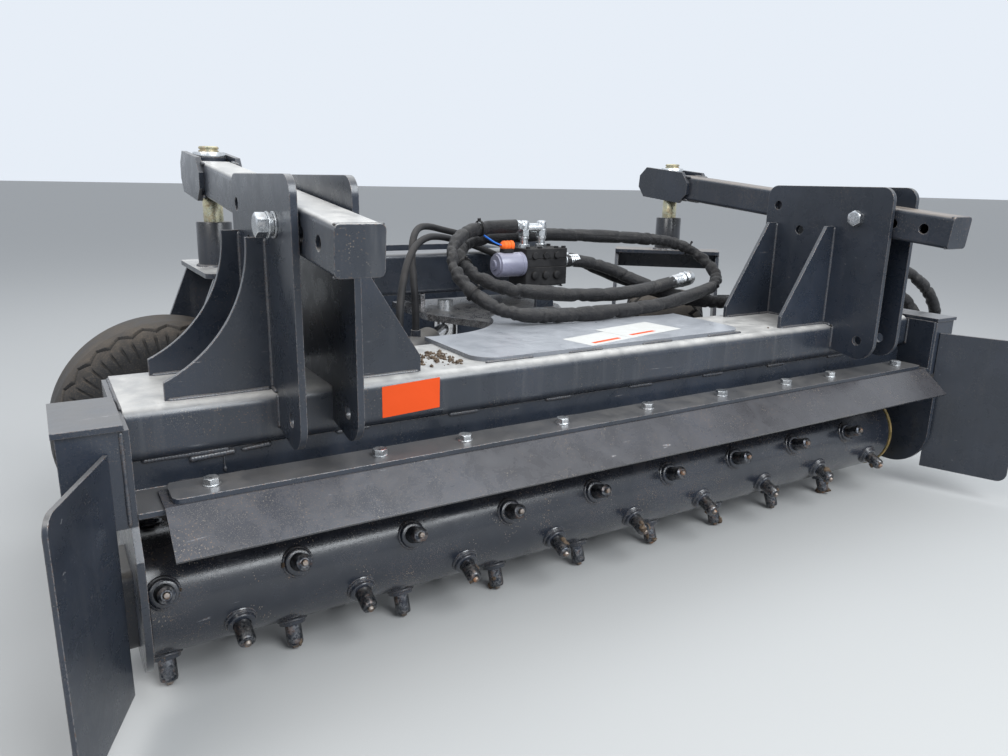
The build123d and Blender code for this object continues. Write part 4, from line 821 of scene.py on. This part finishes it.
welds = Form()
for side, way in SIDES.items():
    centre = way * BRACKET_X
    for face in (-EAR_OUTSIDE, EAR_OUTSIDE):
        seam(welds, centre + face, (6, 218), BEAM_TOP, 5.5)
        seam(welds, centre + face, 0, (384, 436), 4.5)
    for back in (26, 188):
        for end in (-1, 1):
            start = centre + end * EAR_OUTSIDE
            for face in (back, back + GUSSET):
                seam(welds, start, face, (441, 662), 4.2, 3)
                seam(welds, (start + end * 4, start + end * 148), face, BEAM_TOP, 4.8, 5)
    seam(welds, way * BEAM_HALF, (20, 212), 434, 4.5)
    seam(welds, way * BEAM_HALF, -2, (368, 432), 4.0)
    cap = way * 907
    seam(welds, cap, (-72, 72), 434, 3.5)
    seam(welds, cap, -70, (302, 432), 3.5)
    seam(welds, cap, 70, (302, 432), 3.5)
for first, last in ((-880, -760), (-600, -540), (-400, -340), (-200, -140), (0, 60), (200, 260),
                    (400, 460), (610, 670), (800, 880)):
    seam(welds, (first, last), 14, 360, 5.0, first)
    seam(welds, (first + 30, last + 20), 14, 318, 4.5, last)
for first, last in ((-320, -220), (-140, -60), (40, 120), (220, 320)):
    seam(welds, (first, last), 27, 440, 4.0, first)
for first, last, z in ((-818, -752, 352), (-745, -700, 355)):
    seam(welds, (first, last), 13, (z, z + 3), 5.5, last)
fall = np.linspace(0, 1, 24)[:, None]
drip = at(-770, 12.6, 352) + fall * np.array([0.001, 0, -0.026])
tube(welds, drip, 0.0012 + 0.0016 * np.exp(-((fall[:, 0] - 0.85) / 0.12) ** 2), 10)
piece("frame_welds", welds, "weld", "root", angle=70)

dirt = Form()
rng = np.random.default_rng(23)
for k in range(110):
    x, back = rng.normal(-372, 24), rng.uniform(40, 150)
    size = rng.gamma(2.0, 1.0) + 0.8
    if x < -345:
        lump(dirt, at(x, back, BEAM_TOP + 0.2), min(size, 5.0), int(rng.integers(1e6)))
for k in range(60):
    x, back = rng.uniform(-860, 860), rng.uniform(20, 215)
    if abs(abs(x) - BRACKET_X) > 210 and abs(x) > 345:
        lump(dirt, at(x, back, BEAM_TOP + 0.1), rng.uniform(0.8, 2.2), int(rng.integers(1e6)))
piece("deck_dirt", dirt, "soil", "root", angle=60)

carrier_welds = Form()
for x in (-280, 280):
    for z in (469, 571):
        seam(carrier_welds, x, (641, 741), z, 3.0)
for x in (-280, -220, 220, 280):
    seam(carrier_welds, x, 742, (482, 558), 4.5)
    seam(carrier_welds, x, 1192, (482, 558), 5.0)
for x in (-156, -144, 144, 156):
    for z in (438, 469):
        seam(carrier_welds, x, (642, 740), z, 4.0)
piece("carrier_welds", carrier_welds, "weld", "carrier", angle=70)

# in metres: half of the arm's tube, the height of its seams, and distances along it from its pivot
ARM_HALF, ARM_SEAM = 0.0325, 0.0315
ARM_FRONT, CAP_FACE, CHEEK_START, CHEEK_END = 0.197, 0.1972, 0.5451, 0.594
for side, way in SIDES.items():
    centre = way * BRACKET_X
    pivot = at(centre, PIVOT_BACK, PIVOT_Z)
    arm_welds = Form()
    for end in (-1, 1):
        for lift in (-1, 1):
            edge = pivot + np.array([end * ARM_HALF, 0, 0]) + arm_up * lift * ARM_SEAM
            bead(arm_welds, edge + arm_dir * CHEEK_START, edge + arm_dir * CHEEK_END, 4.2)
            across = np.array([-end * 2 * ARM_HALF, 0, 0])
            bead(arm_welds, edge - arm_dir * ARM_FRONT, edge - arm_dir * CAP_FACE + across, 2.0)
    ring_bead(arm_welds, at(centre, CASTER_BACK, 728), UP, 34.5, 3.4)
    piece(f"arm_welds_{side}", arm_welds, "weld", f"arm_{side}", angle=70)

# Hoses

# the cylinder's foot, its heading, and the distance of its two ports from the foot
FOOT_X, FOOT_BACK, CYLINDER_TURN = -400, 262, math.radians(49.50704)
PORTS = [(FOOT_X + math.cos(CYLINDER_TURN) * reach, FOOT_BACK + math.sin(CYLINDER_TURN) * reach)
         for reach in (63, 185)]
HOSES = {
    "hose_motor_front": (SLEEVED, [
        (148, 457, 560), (204, 457, 560), (276, 438, 540), (355, 394, 500), (445, 350, 466),
        (535, 312, 450), (640, 284, 452), (750, 268, 472), (860, 244, 508), (960, 204, 540),
        (1060, 162, 544), (1140, 128, 508), (1188, 104, 444), (1206, 94, 366), (1208, 90, 290),
        (1192, 88, 222), (1158, 88, 168), (1106, 88, 140), (1056, 88, AXLE_Z), (1010, 88, AXLE_Z)]),
    "hose_motor_back": (SLEEVED, [
        (148, 502, 562), (206, 502, 562), (290, 478, 528), (375, 434, 490), (465, 386, 462),
        (550, 350, 450), (650, 326, 448), (760, 308, 458), (868, 284, 480), (968, 246, 502),
        (1060, 204, 502), (1124, 166, 464), (1158, 132, 400), (1172, 96, 326), (1168, 66, 254),
        (1140, 50, 192), (1092, 45, 152), (1048, 44, AXLE_Z), (1010, 44, AXLE_Z)]),
    "hose_feed": (SLEEVED, [
        (19, 480, 645), (-60, 480, 645), (-131, 465, 633), (-183, 425, 601), (-202, 371, 556),
        (-183, 317, 510), (-131, 277, 477), (-60, 262, 465), (30, 254, 464), (130, 250, 464),
        (240, 256, 465), (350, 270, 472), (470, 292, 488), (525, 305, 498), (565, 339, 517),
        (580, 385, 545), (565, 431, 573), (525, 465, 595), (470, 478, 604), (385, 486, 610),
        (290, 506, 615), (195, 538, 618), (100, 556, 618), (-20, 556, 612), (-78, 541, 605),
        (-121, 503, 585), (-137, 451, 559), (-121, 399, 533), (-78, 361, 513), (-20, 346, 506),
        (60, 332, 497), (150, 320, 492), (240, 316, 493), (325, 322, 499), (400, 334, 508)]),
    "hose_cylinder_base": (BARE, [
        (68, 520, 548), (68, 572, 548), (44, 618, 566), (-12, 640, 590), (-76, 622, 606),
        (-138, 574, 617), (-202, 506, 622), (-262, 440, 610), (-308, 384, 578), (-340, 340, 526),
        (*PORTS[0], 478), (*PORTS[0], 430)]),
    "hose_cylinder_rod": (BARE, [
        (98, 520, 570), (98, 576, 570), (80, 626, 588), (34, 660, 602), (-24, 670, 614), (-88, 650, 627),
        (-150, 604, 640), (-206, 544, 642), (-248, 484, 622), (-272, 438, 580), (-279, 411, 528),
        (*PORTS[1], 480), (*PORTS[1], 430)]),
}


def spline_line(name, points):
    """Points along the smooth NURBS spline that has the route's points as its control points."""
    curve = bpy.data.curves.new(name, "CURVE")
    curve.dimensions = "3D"
    curve.resolution_u = 16
    spline = curve.splines.new("NURBS")
    spline.points.add(len(points) - 1)
    for point, place in zip(spline.points, points):
        point.co = (*at(*place), 1.0)
    spline.order_u = 3
    spline.use_endpoint_u = True
    holder = bpy.data.objects.new(name, curve)
    mesh = bpy.data.meshes.new_from_object(holder)
    line = np.zeros(len(mesh.vertices) * 3)
    mesh.vertices.foreach_get("co", line)
    bpy.data.objects.remove(holder)
    bpy.data.curves.remove(curve)
    bpy.data.meshes.remove(mesh)
    return line.reshape(-1, 3)


def evenly(line, step):
    """The line's points at even steps along it, and the distance of each."""
    s = along(line)
    t = np.linspace(0, s[-1], int(s[-1] / step) + 1)
    return np.stack([np.interp(t, s, line[:, k]) for k in range(3)], 1), t


def sleeve(form, line, radius, seed):
    """Loose sleeve: its radius is R (1 + slow noise + an oval that turns + a long crease - the folds).
    Each fold is a short dent up to 0.26 R deep that lies aslant, exp(-((s - s0 - lean a) / width)^2)
    (1 + cos(a - a0)) / 2, and there are more of them where the hose bends."""
    step, sides = 0.0032, 22
    line, s = evenly(line, step)
    a = angles(sides)[None]
    rng = np.random.default_rng(seed)
    tangent, u, v = carry(line)
    bend = np.linalg.norm(np.gradient(tangent, axis=0), axis=1) / step
    bend = np.convolve(bend, np.ones(9) / 9, "same")
    knots = np.linspace(0, s[-1], max(4, int(s[-1] / 0.05)))
    shape = 1 + 0.03 * np.interp(s, knots, rng.normal(0, 1, len(knots)))[:, None]
    shape = shape + 0.04 * np.cos(2 * (a - np.interp(s, knots, rng.uniform(0, 3, len(knots)))[:, None]))
    crease = np.interp(s, knots, 1.2 + np.cumsum(rng.normal(0, 0.35, len(knots))))[:, None]
    turn = (a - crease + np.pi) % (2 * np.pi) - np.pi
    shape = shape + 0.07 * np.exp(-(turn / 0.3) ** 2) - 0.06 * np.exp(-((turn - 0.7) / 0.3) ** 2)
    share_of_folds = np.cumsum(0.6 + np.minimum(bend, 12))
    for share in rng.uniform(0, 1, int(s[-1] / 0.013)):
        place = np.interp(share * share_of_folds[-1], share_of_folds, s)
        a0, lean, width = rng.uniform(0, 6.28), rng.normal(0, 0.006), rng.uniform(0.003, 0.008)
        depth = rng.uniform(0.07, 0.26)
        turn = (a - a0 + np.pi) % (2 * np.pi) - np.pi
        fold = np.exp(-((s[:, None] - place - lean * turn) / width) ** 2) * (0.5 + 0.5 * np.cos(turn))
        shape = shape - depth * fold
    fade = np.minimum(1, np.minimum(s, s[-1] - s) / 0.012)[:, None]
    tube(form, line, radius / 1000 * (1 + (shape - 1) * fade), sides, flow=True)
    return line


lines, covers = {}, {}
for number, (name, (radius, points)) in enumerate(HOSES.items()):
    line = spline_line(name, points)
    skin = Form()
    look = "sleeve" if radius == SLEEVED else "hose"
    if radius == SLEEVED:
        line = sleeve(skin, line, radius, 40 + number)
    else:
        line, s = evenly(line, 0.006)
        tube(skin, line, radius / 1000, 16, flow=True)
    lines[name] = line
    covers[name] = piece(f"{name}_cover", skin, look, "root", [name], angle=60, merge=False)

# Fittings


def crimp(form, centre, direction, radius, length):
    """Hose end: a swivel nut, a neck and a pressed ferrule with five rings."""
    direction = np.array(direction, float)
    hex_head(form, centre, direction, radius * 1.75, length * 0.34)
    rings = [(0.62 * radius, 0.3 * length)]
    for k in range(5):
        start = length * (0.38 + 0.12 * k)
        rings += [(radius * 0.98, start), (radius * 1.04, start + 1.2),
                  (radius * 1.04, start + length * 0.07), (radius * 0.9, start + length * 0.085)]
    rings.append((radius * 0.7, length))
    lathe(form, rings, centre, direction)


joints = Form()
ELBOW_BACK, ELBOW_Z = 480, 645
for x in (45.0, 95.0):
    foot = at(x, ELBOW_BACK, BLOCK_TOP)
    hex_head(joints, foot, UP, 25, 9, turn=x)
    lathe(joints, [(10, 8), (10, 20), (12.4, 21), (12.4, 26), (10.5, 28)], foot, UP, 28)
    hex_head(joints, raised(foot, 28), UP, 24, 16, turn=x + 0.4)
    lathe(joints, [(12.4, 42), (12.6, 58), (11.4, 63), (6, 65), (0.001, 65)], foot, UP, 28)
lathe(joints, [(11.6, 0), (11.6, 10), (10.5, 11), (10.5, 26)], at(45, ELBOW_BACK, ELBOW_Z), LEFT, 28)
hex_head(joints, at(33, ELBOW_BACK, ELBOW_Z), LEFT, 23, 9)
lathe(joints, [(11.4, 0), (11.4, 44)], at(48, ELBOW_BACK, 640), RIGHT, 24)
for name in ("hose_motor_front", "hose_motor_back"):
    spot = at(*HOSES[name][1][0])
    lathe(joints, [(10, -4), (17, 0), (17, 3), (10, 3)], spot, RIGHT, 32)
    crimp(joints, spot, RIGHT, 15.2, 44)
for back in (44, 88):
    lathe(joints, [(12, 0), (14, 0), (14, 8), (12, 9), (12, 25)], at(985, back, AXLE_Z), RIGHT, 28)
    crimp(joints, at(992, back, AXLE_Z), RIGHT, 15.4, 40)
feed_before, feed_end = (at(*place) for place in HOSES["hose_feed"][1][-2:])
feed_dir = (feed_end - feed_before) / np.linalg.norm(feed_end - feed_before)
coupling = Form()
crimp(coupling, feed_end - feed_dir * 0.01, feed_dir, 16.5, 44)
lathe(coupling, [(13, 30), (15, 32), (18.2, 36), (19, 38), (19, 46), (17.6, 47), (17.6, 56), (19, 57),
                 (19, 70), (18, 73), (14, 74), (14, 77.6), (11, 78), (0.001, 74)], feed_end, feed_dir, 36)
for k in range(7):
    lathe(coupling, [(17.2, 48 + k), (18.2, 48.5 + k), (17.2, 49 + k)], feed_end, feed_dir, 36)
coupler = piece("feed_coupling", coupling, "zinc", "root", ())
piece("fitting_detail", joints, "zinc", "root", ["fittings"])

# Valve block, solenoid and plug

block = Form()
slab(block, rounded(120, 80, 4, BLOCK_MIDDLE, 3), 505, 44, 1.2)
slab(block, rounded(116, 78, 3, BLOCK_MIDDLE, 3), 549, 20, 1.0)
slab(block, rounded(120, 80, 4, BLOCK_MIDDLE, 3), 569, 24, 1.2)
for x in (36, 70, 118, 140):
    for back in (447, 513):
        hex_head(block, at(x, back, BLOCK_TOP), UP, 10, 5, turn=x)
for x in (52, 84, 116):
    lathe(block, [(0.001, 7), (7, 7), (9, 6), (9.6, 0)], at(x, 440, 530), (0, -1, 0), 24)
    hex_head(block, at(x, 440, 577), (0, -1, 0), 15, 5, turn=x)
piece("valve_body", block, "plastic", "root", ["valve_block"])

can = Form()
lathe(can, [(0.001, 0), (28, 0), (29, 1), (29, 9), (28.2, 10), (28.2, 11), (29, 12), (29, 66), (28, 69),
            (24, 71), (24, 74), (12, 75), (12, 80), (0.001, 80)], at(28, 462, 556), LEFT, 56)
piece("solenoid_detail", can, "lilac", "root", ["solenoid"])

plug = Form()
slab(plug, rounded(30, 22, 4, (-14, 462), 4), 585, 9, 1.0, slot=1)
lathe(plug, [(0.001, 0), (9, 0), (11.4, 1), (11.8, 3), (11.8, 9), (10.4, 10), (10.4, 12), (11.8, 13),
             (11.8, 17), (10.6, 18), (10.6, 20), (11.6, 21), (11.6, 27), (9, 29), (6, 33), (0.001, 33)],
      at(2, 462, 601), LEFT, 32)
piece("plug_detail", plug, "orange plastic", "root", ["plug"])

wires = Form()
for shift in (-2.6, 2.6):
    line = spline_line("wire", [(-28, 462 + shift, 602), (-44, 461 + shift, 606), (-62, 466 + shift, 618),
                                (-84, 478 + shift, 634), (-104, 486 + shift * 0.7, 640),
                                (-118, 486 + shift * 0.5, 634)])
    tube(wires, evenly(line, 0.002)[0], 0.0016, 8)
piece("signal_wires", wires, "blue", "root")

# Ties, tag and labels

ties = Form()
for name, distance in (("hose_feed", 0.10), ("hose_feed", 0.36), ("hose_feed", 1.28), ("hose_feed", 2.05),
                       ("hose_motor_front", 0.36), ("hose_motor_back", 0.62), ("hose_motor_front", 0.95)):
    line, s = evenly(lines[name], 0.002)
    tangent = np.gradient(line, axis=0)
    k = int(np.searchsorted(s, distance))
    lathe(ties, [(16.2, -2.6), (18.6, -2.6), (18.9, 0), (18.6, 2.6), (16.2, 2.6)], line[k], tangent[k], 32)
    u, v, w = basis(tangent[k])
    slab(ties, rounded(7, 6, 1.2, steps=2), -2, 6, 0.5, origin=line[k] + v * 0.0195, axes=(u, w, v))
piece("hose_ties", ties, "plastic", "root")

tag = Form()
tag_left, tag_right, tag_low, tag_high = -525.5, -423.5, 378, 429.5
tag_middle, slope, lift, cols, rows = -474, 0.045, 0.35, 24, 10
gx, gz = np.meshgrid(np.linspace(tag_left, tag_right, cols), np.linspace(tag_low, tag_high, rows))
curl = 1.2 * np.exp(-((gx - tag_right) / 10) ** 2) * ((gz - tag_low) / 51)
curl += 0.25 * np.sin(gx * 0.09) * np.cos(gz * 0.11)
tilted = gz + (gx - tag_middle) * slope
front = np.stack([gx / 1000, FACE - (lift + np.abs(curl)) / 1000, tilted / 1000], -1)
tag.add(front, grid_faces(rows, cols))
back = front.copy()
back[..., 1] = FACE - 0.00005
tag.add(back, grid_faces(rows, cols))
piece("orange_tag", tag, "tag", "root", merge=False)

labels = Form()
stripes = Form()
for origin, turn, width, depth, lift in (((-4, 88), 12, 176, 78, 0.0), ((112, 122), 10, 166, 100, 0.35)):
    cosine, sine = math.cos(math.radians(turn)), math.sin(math.radians(turn))
    axes = (np.array([cosine, sine, 0]), np.array([-sine, cosine, 0]), np.array([0, 0, 1.0]))
    place = at(*origin, COVER_TOP)
    slab(labels, rounded(width, depth, 3, steps=4), lift, 0.3, 0.05, origin=place, axes=axes)
    stripe = rounded(width * 0.46, 10, 1, (-width * 0.15, -depth * 0.3), 3)
    slab(stripes, stripe, lift + 0.25, 0.25, 0.05, origin=place, axes=axes)
piece("blank_labels", labels, "label", "root")
piece("label_stripes", stripes, "tag", "root")

# Stage, light and camera

floor_mesh = bpy.data.meshes.new("floor")
floor_mesh.from_pydata([(-80, -80, 0), (80, -80, 0), (80, 80, 0), (-80, 80, 0)], [], [(0, 1, 2, 3)])
floor = shown("floor", floor_mesh)
floor.location.z = -0.0005
floor_look = bpy.data.materials.new("pale_floor")
floor_look.use_nodes = True
floor_shader = floor_look.node_tree.nodes["Principled BSDF"]
floor_shader.inputs["Base Color"].default_value = (0.36, 0.36, 0.355, 1)
floor_shader.inputs["Roughness"].default_value = 0.85
floor_mesh.materials.append(floor_look)

world = bpy.data.worlds.new("studio")
world.use_nodes = True
sky = world.node_tree.nodes["Background"]
sky.inputs["Color"].default_value = (0.84, 0.9, 0.98, 1)
sky.inputs["Strength"].default_value = 0.95
bpy.context.scene.world = world


def area(name, place, target, size, power, tint=(1, 1, 1)):
    """A soft square light that looks at a point."""
    data = bpy.data.lights.new(name, "AREA")
    data.shape = "SQUARE"
    data.size = size
    data.energy = power
    data.color = tint
    lamp = shown(name, data)
    lamp.location = place
    lamp.rotation_euler = (Vector(target) - Vector(place)).to_track_quat("-Z", "Y").to_euler()


area("sky", (0.2, 1.4, 3.6), (0, 0, 0.3), 4.0, 70, (0.95, 0.98, 1.0))
area("key", (-2.6, -1.4, 2.8), (0.1, -0.4, 0.3), 1.6, 50, (1.0, 0.98, 0.95))
area("front", (0.6, -3.2, 3.1), (-0.1, -0.6, 0.2), 2.6, 200, (0.93, 0.97, 1.0))

camera = shown("camera", bpy.data.cameras.new("camera"))
# the camera's own right, up and forward directions, solved from the photo's vanishing points
right, up = Vector((0.8548, -0.5185, 0.0196)), Vector((0.1126, 0.2222, 0.9685))
forward = Vector((0.5065, 0.8257, -0.2483))
turned = Matrix((right, up, -forward)).transposed().to_4x4()
turned.translation = Vector((-0.9742, FACE - 1.1021, 0.7471))
camera.matrix_world = turned
camera.data.sensor_width = 36.0
camera.data.lens = 27.32
camera.data.clip_start = 0.05
bpy.context.scene.camera = camera
bpy.context.scene.view_settings.view_transform = "Standard"
